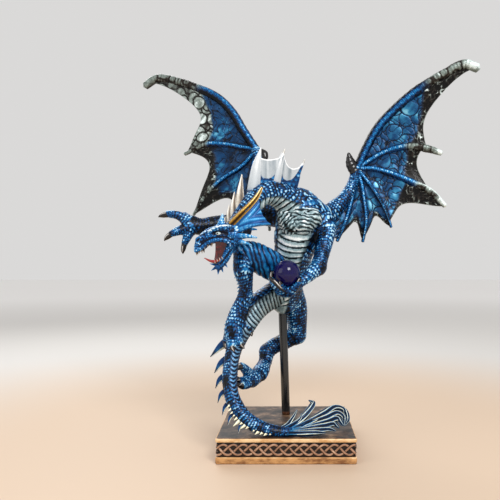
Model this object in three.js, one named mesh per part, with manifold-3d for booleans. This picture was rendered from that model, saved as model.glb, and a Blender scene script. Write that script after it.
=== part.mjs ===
// A painted resin dragon in flight, carried on a dark metal rod above a square plinth with a
// plaited frieze. Its tail comes down to the plinth and ends in a swept fin, and its left hand
// holds a glass ball. Millimetres, +Z up, the origin under the middle of the plinth. The
// dragon's head points to -X, and its chest faces -Y.
import * as THREE from "three";
import { mergeVertices } from "three/addons/utils/BufferGeometryUtils.js";
import Module from "manifold-3d";

const wasm = await Module();
wasm.setup();
const { Manifold } = wasm;

// Driving dimensions
const figureHeight = 297; // from the plinth's top to the higher wing tip
const plinthWidth = 100;
const plinthDepth = 100;
const lowerBandHeight = 5;
const friezeHeight = 10.2;
const upperBandHeight = 2.8;
const friezeRecess = 1;
const strandSlantWidth = 2.1; // measured upright across the slanting strand
const strandRelief = 0.8;
const strandPeriod = 27;
const strandMargin = 0.5;
const rodDiameter = 6.8;
const socketDepthInPlinth = 10;
const socketDepthInFigure = 12;
const socketClearance = 0.3;
const ballDiameter = 20.6;
const ballClearance = 0.3;
const restClearance = 0.3; // under the tail, where it lies on the plinth
const webThickness = 1.8;

const plinthHeight = lowerBandHeight + friezeHeight + upperBandHeight;

// The figure's pose is drawn 297 mm high, and its points are shares of that.
const share = figureHeight / 297;
const posed = (x, y, z) => new THREE.Vector3(x * share, y * share, z * share + plinthHeight);

// A solid from a closed geometry
function solid(geometry) {
  const bare = new THREE.BufferGeometry();
  bare.setAttribute("position", geometry.getAttribute("position"));
  if (geometry.index) bare.setIndex(geometry.index);
  const merged = mergeVertices(bare, 1e-4);
  return new Manifold(
    new wasm.Mesh({
      numProp: 3,
      vertProperties: new Float32Array(merged.attributes.position.array),
      triVerts: new Uint32Array(merged.index.array),
    }),
  );
}

// A closed geometry from rings of equal length, with a point past each end
function skin(rings, firstPoint, lastPoint) {
  const around = rings[0].length;
  const points = [...rings.flat(), firstPoint, lastPoint];
  const first = points.length - 2;
  const last = points.length - 1;
  const faces = [];
  for (let k = 0; k < around; k++) {
    const next = (k + 1) % around;
    faces.push(first, next, k);
    for (let ring = 0; ring < rings.length - 1; ring++) {
      const a = ring * around;
      const b = a + around;
      faces.push(a + k, a + next, b + next, a + k, b + next, b + k);
    }
    const end = (rings.length - 1) * around;
    faces.push(last, end + k, end + next);
  }
  const geometry = new THREE.BufferGeometry().setFromPoints(points);
  geometry.setIndex(faces);
  return geometry;
}

const smoothCurve = (points) =>
  new THREE.CatmullRomCurve3(points.map((point) => posed(...point)), false, "centripetal");

// A limb: a round tube along a smooth curve through [x, y, z, radius] points, with domed ends
function limb(points, sides = 6) {
  const path = smoothCurve(points);
  const steps = points.length - 1;
  const frames = path.computeFrenetFrames(steps, false);
  const rings = [];
  const centres = [];
  for (let i = 0; i <= steps; i++) {
    const radius = points[i][3] * share;
    const centre = posed(...points[i]);
    const ring = [];
    for (let k = 0; k < sides; k++) {
      const angle = (2 * Math.PI * k) / sides;
      const spoke = frames.normals[i].clone().multiplyScalar(Math.cos(angle) * radius);
      ring.push(centre.clone().add(spoke).addScaledVector(frames.binormals[i], Math.sin(angle) * radius));
    }
    rings.push(ring);
    centres.push({ centre, radius });
  }
  const dome = 0.6;
  const [first, last] = [centres[0], centres[steps]];
  const start = first.centre.clone().addScaledVector(frames.tangents[0], -dome * first.radius);
  const end = last.centre.clone().addScaledVector(frames.tangents[steps], dome * last.radius);
  const made = solid(skin(rings, start, end));
  return made.volume() < 0 ? solid(skin(rings.map((ring) => [...ring].reverse()), start, end)) : made;
}

// A muscle: an egg with its own three half sizes, turned about the upright axis
function muscle([x, y, z], [a, b, c], turn = 0, tilt = 0) {
  const egg = new THREE.SphereGeometry(1, 8, 4);
  egg.scale(a * share, b * share, c * share);
  egg.rotateY(tilt);
  egg.rotateZ(turn);
  const centre = posed(x, y, z);
  return solid(egg.translate(centre.x, centre.y, centre.z));
}

// A web: a thin sheet stretched between two rails, each a list of points. It runs from start to
// its own end on either rail. Its free edge is scalloped, deepest near the first rail when skew
// is under 1, and it billows to the back.
function web(railA, railB, { rows, columns = 3, scallop, skew = 1, start = 0.1, ends, billow = 0 }) {
  const [a, b] = [smoothCurve(railA), smoothCurve(railB)];
  const middle = [];
  for (let row = 0; row <= rows; row++) {
    for (let column = 0; column <= columns; column++) {
      const across = column / columns;
      const bow = Math.sin(Math.PI * Math.pow(across, skew));
      const reach = THREE.MathUtils.lerp(...ends, across) - scallop * Math.pow(bow, 0.8);
      const along = start + ((reach - start) * row) / rows;
      const point = a.getPoint(along).lerp(b.getPoint(along), across);
      point.y += billow * share * Math.sin(Math.PI * across) * (row / rows);
      middle.push(point);
    }
  }
  return sheetSolid(middle, rows, columns);
}

// A sheet of webThickness from a grid of middle points, thickened along its own normals
function sheetSolid(middle, rows, columns) {
  const at = (row, column) => middle[row * (columns + 1) + column];
  const front = [];
  const back = [];
  for (let row = 0; row <= rows; row++) {
    for (let column = 0; column <= columns; column++) {
      const along = at(Math.min(row + 1, rows), column).clone().sub(at(Math.max(row - 1, 0), column));
      const across = at(row, Math.min(column + 1, columns)).clone().sub(at(row, Math.max(column - 1, 0)));
      const normal = along.cross(across).normalize().multiplyScalar(webThickness / 2);
      front.push(at(row, column).clone().add(normal));
      back.push(at(row, column).clone().sub(normal));
    }
  }
  const count = middle.length;
  const index = (row, column) => row * (columns + 1) + column;
  const faces = [];
  const quad = (p, q, r, s) => faces.push(p, q, r, p, r, s);
  for (let row = 0; row < rows; row++) {
    for (let column = 0; column < columns; column++) {
      const steps = [[0, 0], [1, 0], [1, 1], [0, 1]];
      const corners = steps.map(([down, over]) => index(row + down, column + over));
      quad(...corners);
      quad(...corners.map((corner) => corner + count).reverse());
    }
  }
  const rim = [];
  for (let column = 0; column < columns; column++) rim.push(index(0, column));
  for (let row = 0; row < rows; row++) rim.push(index(row, columns));
  for (let column = columns; column > 0; column--) rim.push(index(rows, column));
  for (let row = rows; row > 0; row--) rim.push(index(row, 0));
  rim.forEach((corner, k) => {
    const next = rim[(k + 1) % rim.length];
    quad(corner, next, next + count, corner + count);
  });
  const geometry = new THREE.BufferGeometry().setFromPoints([...front, ...back]);
  geometry.setIndex(faces);
  return solid(geometry);
}

// A spike: a slim pyramid from a base point to a tip
function spike(from, to, radius) {
  return limb([[...from, radius], [...to, radius * 0.14]], 4);
}

// A blade: a spike that stays broad to its middle
function blade(from, to, radius) {
  const middle = from.map((value, k) => (value + to[k]) / 2);
  return limb([[...from, radius], [...middle, radius * 0.85], [...to, radius * 0.14]], 4);
}

const joined = (parts) => Manifold.union(parts);

// The rod leans a little, and runs from its socket in the plinth to its socket under the hips.
const rodFoot = posed(-1, 22, 0);
const hipUnderside = posed(-3.8, 22, 86);
const rodLine = hipUnderside.clone().sub(rodFoot).normalize();

// A round bar along the rod's line, from one height to another
function bar(radius, fromZ, toZ) {
  const from = rodFoot.clone().addScaledVector(rodLine, (fromZ - rodFoot.z) / rodLine.z);
  const to = rodFoot.clone().addScaledVector(rodLine, (toZ - rodFoot.z) / rodLine.z);
  const cylinder = new THREE.CylinderGeometry(radius, radius, to.distanceTo(from), 16);
  const upright = new THREE.Vector3(0, 1, 0);
  cylinder.applyQuaternion(new THREE.Quaternion().setFromUnitVectors(upright, rodLine));
  const middle = from.add(to).multiplyScalar(0.5);
  return solid(cylinder.translate(middle.x, middle.y, middle.z));
}

const socketFloor = plinthHeight - socketDepthInPlinth;
const socketEnd = hipUnderside.z + socketDepthInFigure;
const rodSolid = bar(rodDiameter / 2, socketFloor + socketClearance, socketEnd - socketClearance);
const rodHole = bar(rodDiameter / 2 + socketClearance, socketFloor, socketEnd);

// Plinth: two bands with a recessed frieze between them, and a plait of three strands all round
function slab(width, depth, fromZ, toZ) {
  return solid(new THREE.BoxGeometry(width, depth, toZ - fromZ).translate(0, 0, (fromZ + toZ) / 2));
}

function plaitStrand(length, phase) {
  // The strand runs straight from one crest to the next, half a period on. phase is a share of
  // a period.
  const swing = (friezeHeight - strandSlantWidth) / 2 - strandMargin;
  const height = (x) => {
    const place = THREE.MathUtils.euclideanModulo(x / strandPeriod + phase, 1);
    return swing * (4 * Math.abs(place - 0.5) - 1);
  };
  const turns = [-length / 2];
  for (let k = Math.ceil(2 * (-length / 2 / strandPeriod + phase)); ; k++) {
    const x = (k / 2 - phase) * strandPeriod;
    if (x > length / 2 - 0.01) break;
    if (x > -length / 2 + 0.01) turns.push(x);
  }
  turns.push(length / 2);
  const edges = [[], []];
  for (const x of turns) {
    edges[0].push(new THREE.Vector2(x, height(x) - strandSlantWidth / 2));
    edges[1].unshift(new THREE.Vector2(x, height(x) + strandSlantWidth / 2));
  }
  const rooted = 0.5;
  const ribbon = new THREE.ExtrudeGeometry(new THREE.Shape([...edges[0], ...edges[1]]), {
    depth: strandRelief + rooted,
    bevelEnabled: false,
    steps: 1,
  });
  return ribbon.translate(0, 0, -rooted);
}

function plinthSolid() {
  const frieze = { width: plinthWidth - 2 * friezeRecess, depth: plinthDepth - 2 * friezeRecess };
  const friezeFloor = lowerBandHeight;
  const friezeTop = lowerBandHeight + friezeHeight;
  const parts = [
    slab(plinthWidth, plinthDepth, 0, friezeFloor),
    slab(frieze.width, frieze.depth, friezeFloor - 1, friezeTop + 1),
    slab(plinthWidth, plinthDepth, friezeTop, plinthHeight),
  ];
  for (let side = 0; side < 4; side++) {
    const alongX = side % 2 === 0;
    const length = alongX ? frieze.width : frieze.depth;
    const outward = (alongX ? frieze.depth : frieze.width) / 2;
    for (let strand = 0; strand < 3; strand++) {
      const ribbon = plaitStrand(length, strand / 3);
      ribbon.rotateX(Math.PI / 2);
      ribbon.translate(0, -outward, friezeFloor + friezeHeight / 2);
      ribbon.rotateZ((side * Math.PI) / 2);
      parts.push(solid(ribbon));
    }
  }
  return joined(parts).subtract(rodHole);
}

// The ball lies in the left hand, and the fingers follow its surface.
const palm = [0, -16, 105.5];
const ballCentre = posed(...palm).add(new THREE.Vector3(0, 0, ballDiameter / 2 + ballClearance));

function ball(radius, widths, heights) {
  return solid(new THREE.SphereGeometry(radius, widths, heights).translate(...ballCentre.toArray()));
}

// The hollow that the ball lies in, whose flat facets stay ballClearance away from it
function ballHollow(widths, heights) {
  const facetShare = Math.cos(Math.PI / widths) * Math.cos(Math.PI / (2 * heights));
  return ball((ballDiameter / 2 + ballClearance) / facetShare, widths, heights);
}

// Each clasping finger's azimuth round the ball, and how far its claw reaches up from below
const claspingFingers = [[192, 100], [150, 104], [240, 62], [330, 76]];
const fingerRadii = [2.6, 2.25, 1.9, 0.6];

function claspingFinger(azimuth, reach) {
  const knuckleRise = 18;
  const points = [];
  for (let k = 0; k < fingerRadii.length; k++) {
    const place = k / (fingerRadii.length - 1);
    const rise = THREE.MathUtils.degToRad(THREE.MathUtils.lerp(knuckleRise, reach, place));
    const radius = fingerRadii[k] * share;
    const away = ballDiameter / 2 + ballClearance + radius;
    const turn = THREE.MathUtils.degToRad(azimuth);
    const spot = new THREE.Vector3(
      Math.sin(rise) * Math.cos(turn),
      Math.sin(rise) * Math.sin(turn),
      -Math.cos(rise),
    );
    spot.multiplyScalar(away).add(ballCentre);
    points.push([spot.x / share, spot.y / share, (spot.z - plinthHeight) / share, radius / share]);
  }
  return limb(points, 4);
}

// Wing rails, from the wrist outwards, with the flank that the last web closes on at their end.
// Each finger has its own radius where it ends.
const nearWing = {
  arm: [
    [27, 21, 160, 9.5], [38, 29, 168, 7.4], [48.7, 34, 179, 5.5], [55, 37, 191, 4.4],
    [59, 37, 204, 3.9],
  ],
  thumb: [[56.4, 36, 204, 3], [52.1, 35, 210.6, 2.7], [51.2, 34, 217, 0.6]],
  rails: [
    [
      [59, 37, 204], [67, 37, 222], [77, 36, 239.5], [93.5, 33, 256.5], [109.5, 29, 269],
      [128, 23, 279.5], [145, 18, 286.5], [155, 15.5, 282.5],
    ],
    [[59, 37, 204], [76, 36, 215], [90, 34, 220.5], [102, 31, 222], [117, 28, 219.5], [128, 26, 215.5]],
    [
      [60, 37, 204], [72, 36, 204], [90, 33, 198.5], [106, 30, 191], [119, 27, 183.5],
      [130.5, 24, 171.5],
    ],
    [[60, 37, 202.5], [66.6, 36, 194.5], [75.5, 33, 181], [82.5, 30, 167], [86.5, 27, 154]],
    [[59, 37, 201.5], [62.4, 36, 192], [64.7, 34, 176.5], [66, 31, 159.5], [63, 29, 142]],
    [[58, 37, 200.5], [57, 36, 190], [53.5, 34, 175], [48.5, 31, 158.5], [41.5, 28, 142.5]],
    [[58, 37, 203], [53, 36, 187], [44, 32, 173], [33, 25, 161], [32, 20, 143]],
  ],
  webs: [
    { ends: [0.97, 0.79], scallop: 0.21, skew: 0.7 },
    { ends: [0.76, 0.8], scallop: 0.11 },
    { ends: [1, 0.8], scallop: 0.15, skew: 1.5 },
    { ends: [0.85, 0.74], scallop: 0.17 },
    { ends: [0.93, 0.82], scallop: 0.1 },
    { ends: [0.95, 0.95], scallop: 0.1 },
  ],
  fingerEnds: [3.9, 3.6, 3.2, 2.9, 2.7, 2],
};
const farWing = {
  arm: [
    [-1, 21, 170, 9.5], [-9.5, 32, 180, 7.4], [-16.5, 40, 192, 5.5], [-23, 47, 207, 4.5],
    [-27.5, 50, 223, 4],
  ],
  thumb: [[-26, 49, 221.5, 3], [-20, 47, 218.5, 3.2], [-20.5, 44, 207, 0.7]],
  rails: [
    [
      [-27.5, 50, 223], [-39, 54, 241], [-48.5, 58, 257], [-61.5, 63, 271], [-80, 68, 281.5],
      [-100, 73, 289.5], [-119.5, 77, 293.3], [-130.5, 78, 287],
    ],
    [[-27.5, 50, 223], [-40, 52, 225], [-53, 55, 228], [-72, 59, 229], [-91.5, 62, 221.5]],
    [[-28, 50, 221], [-40.5, 51, 208], [-56.5, 53, 198], [-70.5, 53, 185], [-82, 52, 166.5]],
    [[-27.5, 50, 220], [-31, 49, 203], [-34, 47, 182], [-34, 44, 156]],
    [[-26.5, 50, 220], [-22, 46, 200], [-18, 41, 180], [-15, 37, 152]],
    [[-27, 50, 221], [-19, 43, 195], [-10, 32, 178], [1, 25, 165], [4, 24, 146]],
  ],
  webs: [
    { ends: [0.95, 0.95], scallop: 0.3 },
    { ends: [0.95, 0.95], scallop: 0.24 },
    { ends: [0.97, 0.95], scallop: 0.22 },
    { ends: [0.95, 0.95], scallop: 0.26 },
    { ends: [0.95, 0.95], scallop: 0.2 },
  ],
  fingerEnds: [3.9, 2.5, 2.9, 2, 2],
};

function wing({ arm, thumb, rails, webs, fingerEnds }) {
  const parts = [limb(arm), limb(thumb, 4)];
  webs.forEach((shape, k) => {
    parts.push(web(rails[k], rails[k + 1], { ...shape, rows: k === 0 ? 5 : 3, billow: 2 }));
  });
  fingerEnds.forEach((blunt, k) => {
    const thick = k === 0 ? 3.4 : 2.3;
    const last = rails[k].length - 1;
    const radiusAt = (i) => THREE.MathUtils.lerp(thick, blunt, i / last) * (i < last ? 1 : 0.8);
    parts.push(limb(rails[k].map((point, i) => [...point, radiusAt(i)]), 4));
  });
  return parts;
}

// Body, neck and tail, each a run of [x, y, z, radius] points
const torso = [
  [-2.6, 20, 92, 9], [-1, 19, 103, 11.5], [2.4, 16, 119, 13], [5.6, 13, 135, 15.5], [9, 13, 149, 18.5],
  [12, 15, 161, 18.5], [10, 14, 170, 14],
];
const neck = [
  [12, 14, 165, 15.5], [2, 8, 173, 12], [-8.6, 0, 178.5, 9.4], [-17.6, -8, 177.5, 8],
  [-26.5, -16, 168.5, 7.4], [-33.5, -21, 158.5, 6.9], [-38, -25, 148.5, 6.6],
];
const tail = [
  [-2, 19, 103, 10.5], [-13.5, 14, 97, 9.8], [-25, 6, 88, 9.3], [-33, -3, 74.5, 7.6],
  [-39.6, -12, 60.5, 5.8], [-41.8, -21, 47.5, 5.3], [-41.8, -29, 34.5, 5.1], [-38.6, -35, 23.8, 5.1],
  [-31.5, -39, 13.6, 5.1], [-21, -41, 6.8, 4.7], [-10.2, -42, 3.6, 3.9], [1.5, -41, 2.4, 3.2],
  [12, -37, 2.2, 2.4],
];

// Legs: hip, knee, hock and the ball of the foot
const legs = [
  [[-4, 10, 116, 10], [-16.4, 0, 124.5, 11.2], [-28.5, -8, 131, 9.6], [-33.7, -10, 132.5, 6.6]],
  [[-33.7, -10, 132.5, 6.4], [-33.5, -12, 120, 7.3], [-31.5, -9, 107, 5], [-32.3, -6, 98, 4.8]],
  [[-32.3, -6, 98, 4.8], [-37.4, -8, 86.5, 6.1], [-40.8, -11, 76, 6], [-41.3, -13, 70, 5]],
  [[2.5, 24, 103.5, 9.3], [6.5, 29, 89.5, 9.4], [8.2, 32, 76.5, 8.2], [8.2, 34, 64, 6.6]],
  [[8.2, 34, 63.5, 6.4], [-0.5, 34, 59.3, 6.6], [-9.5, 33, 55.3, 6.2], [-17, 31, 50.6, 5.3]],
  [[-17, 31, 50.6, 5.3], [-18.4, 26, 42.2, 5.1], [-22, 17, 35.3, 5.8], [-28, 6, 32, 5.4]],
];
const toes = [
  [[-41.3, -13, 69, 3.4], [-42, -18, 62.5, 2.7], [-38.5, -20, 56, 0.7]],
  [[-38.6, -14, 71, 3.4], [-36, -17, 64, 2.6], [-32, -16, 59, 0.7]],
  [[-44, -11, 70.5, 3.2], [-46.5, -12, 64, 2.5], [-45.5, -13, 57.5, 0.7]],
  [[-36, -9, 77, 3.1], [-30, -8, 73, 2.3], [-27, -6, 67, 0.7]],
  [[-28, 6, 33.5, 4.4], [-32.5, -3, 41, 3.3], [-35.3, -10, 45, 2.5], [-38.5, -16, 42, 0.8]],
  [[-28.5, 5, 31, 4.4], [-34, -4, 31.5, 3.5], [-37.6, -12, 34, 2.4], [-39, -18, 39, 0.8]],
  [[-26.3, 4, 32, 4], [-30.4, -6, 30, 3.2], [-34.5, -14, 30, 2.3], [-37, -21, 34, 0.8]],
  [[-20.5, 18, 37, 4], [-19.5, 14, 33, 2.5], [-22, 10, 29.5, 0.7]],
];

// Arms and the far hand's fingers
const arms = [
  [
    [0, 24, 163, 10], [-24, 24, 163.2, 7.6], [-42, 20, 158, 6.7], [-58.6, 16, 155, 7.3],
    [-68.6, 12, 153.5, 6.6], [-78, 10, 155.5, 5.6],
  ],
  [[25, 15, 161, 11.5], [31, 8.5, 151, 8], [29, 2.5, 138, 6.2], [26.3, -3, 127.5, 5.6], [24.5, -6, 120.5, 5.3]],
  [
    [24.5, -6, 120.5, 5.3], [18, -10, 115.5, 4.6], [12, -13, 111, 4.2], [6, -15, 106.5, 4],
    [2, -16, 102.6, 4], [-5, -16, 102.8, 3.2],
  ],
];
const farFingers = [
  [[-78, 9, 157, 4], [-87.6, 6, 162.4, 3.2], [-94.4, 4, 163, 2.4], [-102, 3, 160.5, 0.8]],
  [[-78, 7, 153, 4], [-86, 2, 149.4, 3.2], [-91, -1, 147, 2.3], [-96.2, -2, 141.4, 0.8]],
  [[-76, 8, 151.5, 4], [-79.3, 4, 144, 3], [-81.3, 2, 138.4, 2.2], [-82, 1, 131.2, 0.8]],
  [[-77, 13, 158, 3.6], [-84, 18, 163, 2.8], [-91, 20, 161.5, 0.8]],
];

// Head: upper jaw, lower jaw, tongue, horn, crest, nose spike, cheek spines and the frill
const headLimbs = [
  [
    [-35, -24, 146, 6.6], [-41, -26, 146.5, 6.4], [-47, -27, 145, 5.5], [-54, -29, 144.2, 4.6],
    [-59, -30, 142, 4.2], [-63, -31, 137.2, 3.7],
  ],
  [[-39, -25.5, 139.5, 4.4], [-43, -27, 132.6, 3.2], [-45.6, -28, 126.6, 2.9], [-50, -28.5, 121, 2.4]],
  [[-44, -27, 136, 2.2], [-49, -28, 128.8, 1.9], [-54.1, -30, 126.2, 1.5], [-59.7, -32, 127, 0.8]],
  [
    [-40.5, -30, 150.5, 2.6], [-34, -31, 158.5, 2.3], [-27.7, -29, 165, 2], [-22, -26, 172.3, 1.5],
    [-18.3, -24, 181.5, 0.7],
  ],
  [
    [-41, -20, 152, 3.8], [-39, -15, 162, 4.1], [-36.5, -12, 172, 3.9], [-35, -10, 182, 2.6],
    [-34.7, -9, 191, 0.7],
  ],
  [[-48, -28, 148, 3], [-47.5, -28, 160, 0.5]],
  [[-38, -30, 147, 1.8], [-26.7, -33, 151, 1.3], [-16.5, -32, 153, 0.5]],
  [[-38, -30, 144, 1.8], [-28.8, -34, 143.6, 1.4], [-19.6, -33, 142.2, 0.5]],
  [[-38, -29, 141, 1.8], [-31.9, -32, 139.3, 1.2], [-25.3, -32, 137, 0.5]],
  [[-38, -21, 147, 1.8], [-29, -13, 150, 1.3], [-22, -6, 150, 0.5]],
];
const frill = {
  upper: [[-39, -30, 151], [-32, -31, 160], [-25, -28, 168], [-20, -25, 176]],
  lower: [[-38, -30, 146], [-31, -32, 149.5], [-24, -33, 151.5], [-17, -32, 153]],
};

// Sail spines over the neck, tail fins, and the spikes along the back
const sailSpines = [
  { from: [-27, -12, 170], to: [-20, -9, 212.5], radius: 4.2 },
  { from: [-10, -3, 178], to: [-1.5, -2, 213], radius: 3.2 },
  { from: [3, 8, 176], to: [14.4, 9, 207], radius: 2.6 },
];
const sailWebs = [{ ends: [0.84, 0.84], scallop: 0.06 }, { ends: [0.88, 0.86], scallop: 0.2 }];
const tailFins = [
  { from: [-38, -2, 66], to: [-59, -8, 51.5], radius: 4.2 },
  { from: [-42, -14, 52], to: [-54.6, -18, 40.8], radius: 3.4 },
  { from: [-44, -22, 40], to: [-53, -24, 30.5], radius: 2.9 },
  { from: [-43, -29, 30], to: [-50.5, -31, 21], radius: 2.5 },
  { from: [-40, -33, 22], to: [-46.5, -37, 13.5], radius: 2.3 },
  { from: [-36, -37, 15], to: [-42, -42, 7.5], radius: 2.1 },
  { from: [-29, -41, 9], to: [-34, -46, 3], radius: 2 },
];
const backSpikes = [
  { from: [17, 26, 172], to: [20, 41, 180] },
  { from: [18, 30, 158], to: [22, 45, 161] },
  { from: [13, 28, 143], to: [16, 42, 142] },
  { from: [9, 26, 128], to: [11, 39, 124] },
  { from: [4, 28, 112], to: [5, 40, 107] },
];

// Tail fin: fronds that leave the tail's end and curl, drawn flat on the plinth
const fronds = [
  [[-6, -40, 3, 2.6], [1, -35, 6, 2.2], [5, -32, 11, 1.5], [8, -30, 16, 0.6]],
  [[-2, -40, 3, 3], [8, -34, 7, 2.6], [15, -29, 13, 2.1], [19.5, -24, 20, 1.4], [16.5, -24, 21.5, 0.6]],
  [
    [4, -40, 3, 3.2], [16, -34, 7, 3.2], [27, -26, 12, 3], [37, -17, 14.5, 2.6],
    [44, -14, 11.5, 2.2], [46.5, -18, 5, 1.6], [43, -24, 2.2, 0.7],
  ],
  [[4, -41, 2.8, 3], [17, -37, 4.5, 3.2], [29, -30, 7, 3.2], [38, -24, 7.5, 2.8], [42, -25, 3.6, 1.4]],
  [[4, -42, 2.6, 2.8], [16, -40, 3, 3], [27, -36, 4, 2.8], [35, -31, 4, 2.2], [38.5, -32, 2, 1]],
  [[2, -43, 2.4, 2.4], [12, -43, 2.4, 2.4], [21, -41, 2.6, 2.2], [29, -38, 2.4, 1]],
];

function figureSolid() {
  const parts = [limb(torso, 10), limb(neck, 8), limb(tail, 7)];
  parts.push(muscle([18, -1, 157], [11, 6, 7.5], 0.25, 0.2));
  parts.push(muscle([-2, 1, 155], [8, 5.5, 7.5], -0.4, -0.2));
  for (const points of [...legs, ...arms]) parts.push(limb(points, 6));
  for (const points of [...toes, ...farFingers]) parts.push(limb(points, 4));
  for (const points of headLimbs) parts.push(limb(points, points[0][3] > 4 ? 7 : 4));
  const frillShape = { rows: 3, columns: 2, scallop: 0.1, start: 0, ends: [0.9, 0.9] };
  parts.push(web(frill.upper, frill.lower, frillShape));
  parts.push(...wing(nearWing), ...wing(farWing));
  for (const { from, to, radius } of sailSpines) parts.push(blade(from, to, radius));
  for (const { from, to, radius } of tailFins) parts.push(spike(from, to, radius));
  for (const { from, to } of backSpikes) parts.push(spike(from, to, 3));
  sailWebs.forEach((shape, k) => {
    const rails = [sailSpines[k], sailSpines[k + 1]].map(({ from, to }) => [from, to]);
    parts.push(web(...rails, { ...shape, rows: 3, start: 0 }));
  });
  for (const points of fronds) parts.push(limb(points, 4));
  for (const [azimuth, reach] of claspingFingers) parts.push(claspingFinger(azimuth, reach));
  const plinthTop = slab(plinthWidth * 2, plinthDepth * 2, 0, plinthHeight + restClearance);
  return joined(parts)
    .subtract(plinthTop)
    .subtract(ballHollow(14, 8))
    .subtract(rodHole);
}

function mesh(name, piece, look) {
  const { numProp, vertProperties, triVerts } = piece.getMesh();
  const positions = [];
  for (let i = 0; i < vertProperties.length; i += numProp) {
    positions.push(...vertProperties.subarray(i, i + 3));
  }
  const geometry = new THREE.BufferGeometry();
  geometry.setAttribute("position", new THREE.Float32BufferAttribute(positions, 3));
  geometry.setIndex([...triVerts]);
  const made = new THREE.Mesh(geometry, new THREE.MeshStandardMaterial(look));
  made.name = name;
  return made;
}

const statue = new THREE.Group();
statue.add(
  mesh("plinth", plinthSolid(), { color: 0x6b4a2c, roughness: 0.6, metalness: 0.2 }),
  mesh("rod", rodSolid, { color: 0x101010, roughness: 0.35, metalness: 0.6 }),
  mesh("dragon", figureSolid(), { color: 0x1c4f9c, roughness: 0.4, metalness: 0.1 }),
  mesh("ball", ball(ballDiameter / 2, 18, 10), { color: 0x2a1266, roughness: 0.05, metalness: 0 }),
);

export default statue;
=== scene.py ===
import math
import bmesh
import bpy
import numpy as np
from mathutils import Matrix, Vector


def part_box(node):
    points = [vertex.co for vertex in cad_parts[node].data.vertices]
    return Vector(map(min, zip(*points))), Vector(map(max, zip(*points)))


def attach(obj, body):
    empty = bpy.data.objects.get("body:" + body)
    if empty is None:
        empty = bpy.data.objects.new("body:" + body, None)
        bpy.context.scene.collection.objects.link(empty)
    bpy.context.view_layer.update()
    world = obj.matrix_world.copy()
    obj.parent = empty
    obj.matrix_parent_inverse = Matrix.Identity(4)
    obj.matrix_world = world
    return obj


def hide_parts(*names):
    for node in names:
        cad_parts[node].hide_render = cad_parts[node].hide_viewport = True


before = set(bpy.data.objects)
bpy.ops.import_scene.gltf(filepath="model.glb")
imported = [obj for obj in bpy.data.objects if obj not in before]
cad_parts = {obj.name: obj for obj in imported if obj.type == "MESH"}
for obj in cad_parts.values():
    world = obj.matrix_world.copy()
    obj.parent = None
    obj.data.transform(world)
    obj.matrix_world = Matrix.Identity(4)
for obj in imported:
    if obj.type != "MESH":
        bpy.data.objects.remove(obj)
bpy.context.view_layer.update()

mm = 0.001
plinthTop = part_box("plinth")[1].z
drawnTop = 297.0  # the higher wing tip over the plinth, in the figure's own millimetres
share = (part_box("dragon")[1].z - plinthTop) / (drawnTop * mm)
coarse = 1.0

# camera, at the photograph's place and angle
view = {"focalPixels": 600, "frame": 500, "axisX": 293, "axisY": 267, "sensor": 36.0,
        "eye": (0.0048, -0.472, 0.139)}


def addCamera():
    data = bpy.data.cameras.new("camera")
    data.sensor_width = view["sensor"]
    data.lens = view["focalPixels"] / view["frame"] * view["sensor"]
    data.shift_x = (view["frame"] / 2 - view["axisX"]) / view["frame"]
    data.shift_y = (view["axisY"] - view["frame"] / 2) / view["frame"]
    data.clip_start = 0.01
    camera = bpy.data.objects.new("camera", data)
    camera.location = view["eye"]
    camera.rotation_euler = (math.pi / 2, 0, 0)
    bpy.context.scene.collection.objects.link(camera)
    bpy.context.scene.camera = camera


addCamera()
print("camera set")


# small maths helpers; figure points are x, y, z in mm with z over the plinth's top
def toWorld(points):
    return np.asarray(points, float) * share * mm + np.array([0, 0, plinthTop])


def unit(rows):
    return rows / np.maximum(np.linalg.norm(rows, axis=-1, keepdims=True), 1e-9)


def rise(low, high, value):
    t = np.clip((value - low) / (high - low), 0, 1)
    return t * t * (3 - 2 * t)


def hashed(seed, *cells):
    # a repeatable number from 0 to 1 for each whole-numbered cell
    h = np.full(np.shape(cells[0]), seed * 7919 + 17, np.int64)
    for cell, prime in zip(cells, (73856093, 19349663, 83492791)):
        h = h ^ (np.asarray(cell).astype(np.int64) * prime)
        h = (h ^ (h >> 13)) * 1274126177 & 0x7FFFFFFF
    return ((h ^ (h >> 16)) & 0xFFFF) / 65535.0


def softNoise(points, size, seed=0):
    # smooth noise from 0 to 1 whose lumps measure about size mm
    p = np.asarray(points, float) / size
    low = np.floor(p)
    f = p - low
    f = f * f * (3 - 2 * f)
    total = 0
    for dx in (0, 1):
        for dy in (0, 1):
            for dz in (0, 1):
                weight = np.abs(1 - dx - f[:, 0]) * np.abs(1 - dy - f[:, 1]) * np.abs(1 - dz - f[:, 2])
                total = total + weight * hashed(seed, low[:, 0] + dx, low[:, 1] + dy, low[:, 2] + dz)
    return total


def drawn(seed, k):
    # one repeatable number from 0 to 1
    return float(hashed(seed, np.array([k]))[0])


def discPattern(u, v, size, seed=0, reach=0.98, scatter=0.8):
    # overlapping discs: 0 on a disc's rim and 1 well inside, the disc's own number, and its dome
    a, b = np.floor(u / size), np.floor(v / size)
    top = np.full(np.shape(u), -1.0)
    edge, dome = np.zeros(np.shape(u)), np.zeros(np.shape(u))
    for da in range(-2, 3):
        for db in range(-2, 3):
            ca, cb = a + da, b + db
            middleU = ca + 0.5 + scatter * (hashed(seed, ca, cb) - 0.5)
            middleV = cb + 0.5 + scatter * (hashed(seed + 1, ca, cb) - 0.5)
            rank = hashed(seed + 2, ca, cb)
            gap = np.hypot(u / size - middleU, v / size - middleV) / (reach * (0.75 + 0.45 * rank))
            over = (gap < 1) & (rank > top)
            edge = np.where(over, 1 - gap, edge)
            dome = np.where(over, np.sqrt(np.clip(1 - gap ** 2, 0, 1)), dome)
            top = np.where(over, rank, top)
    return edge, top, dome


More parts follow.
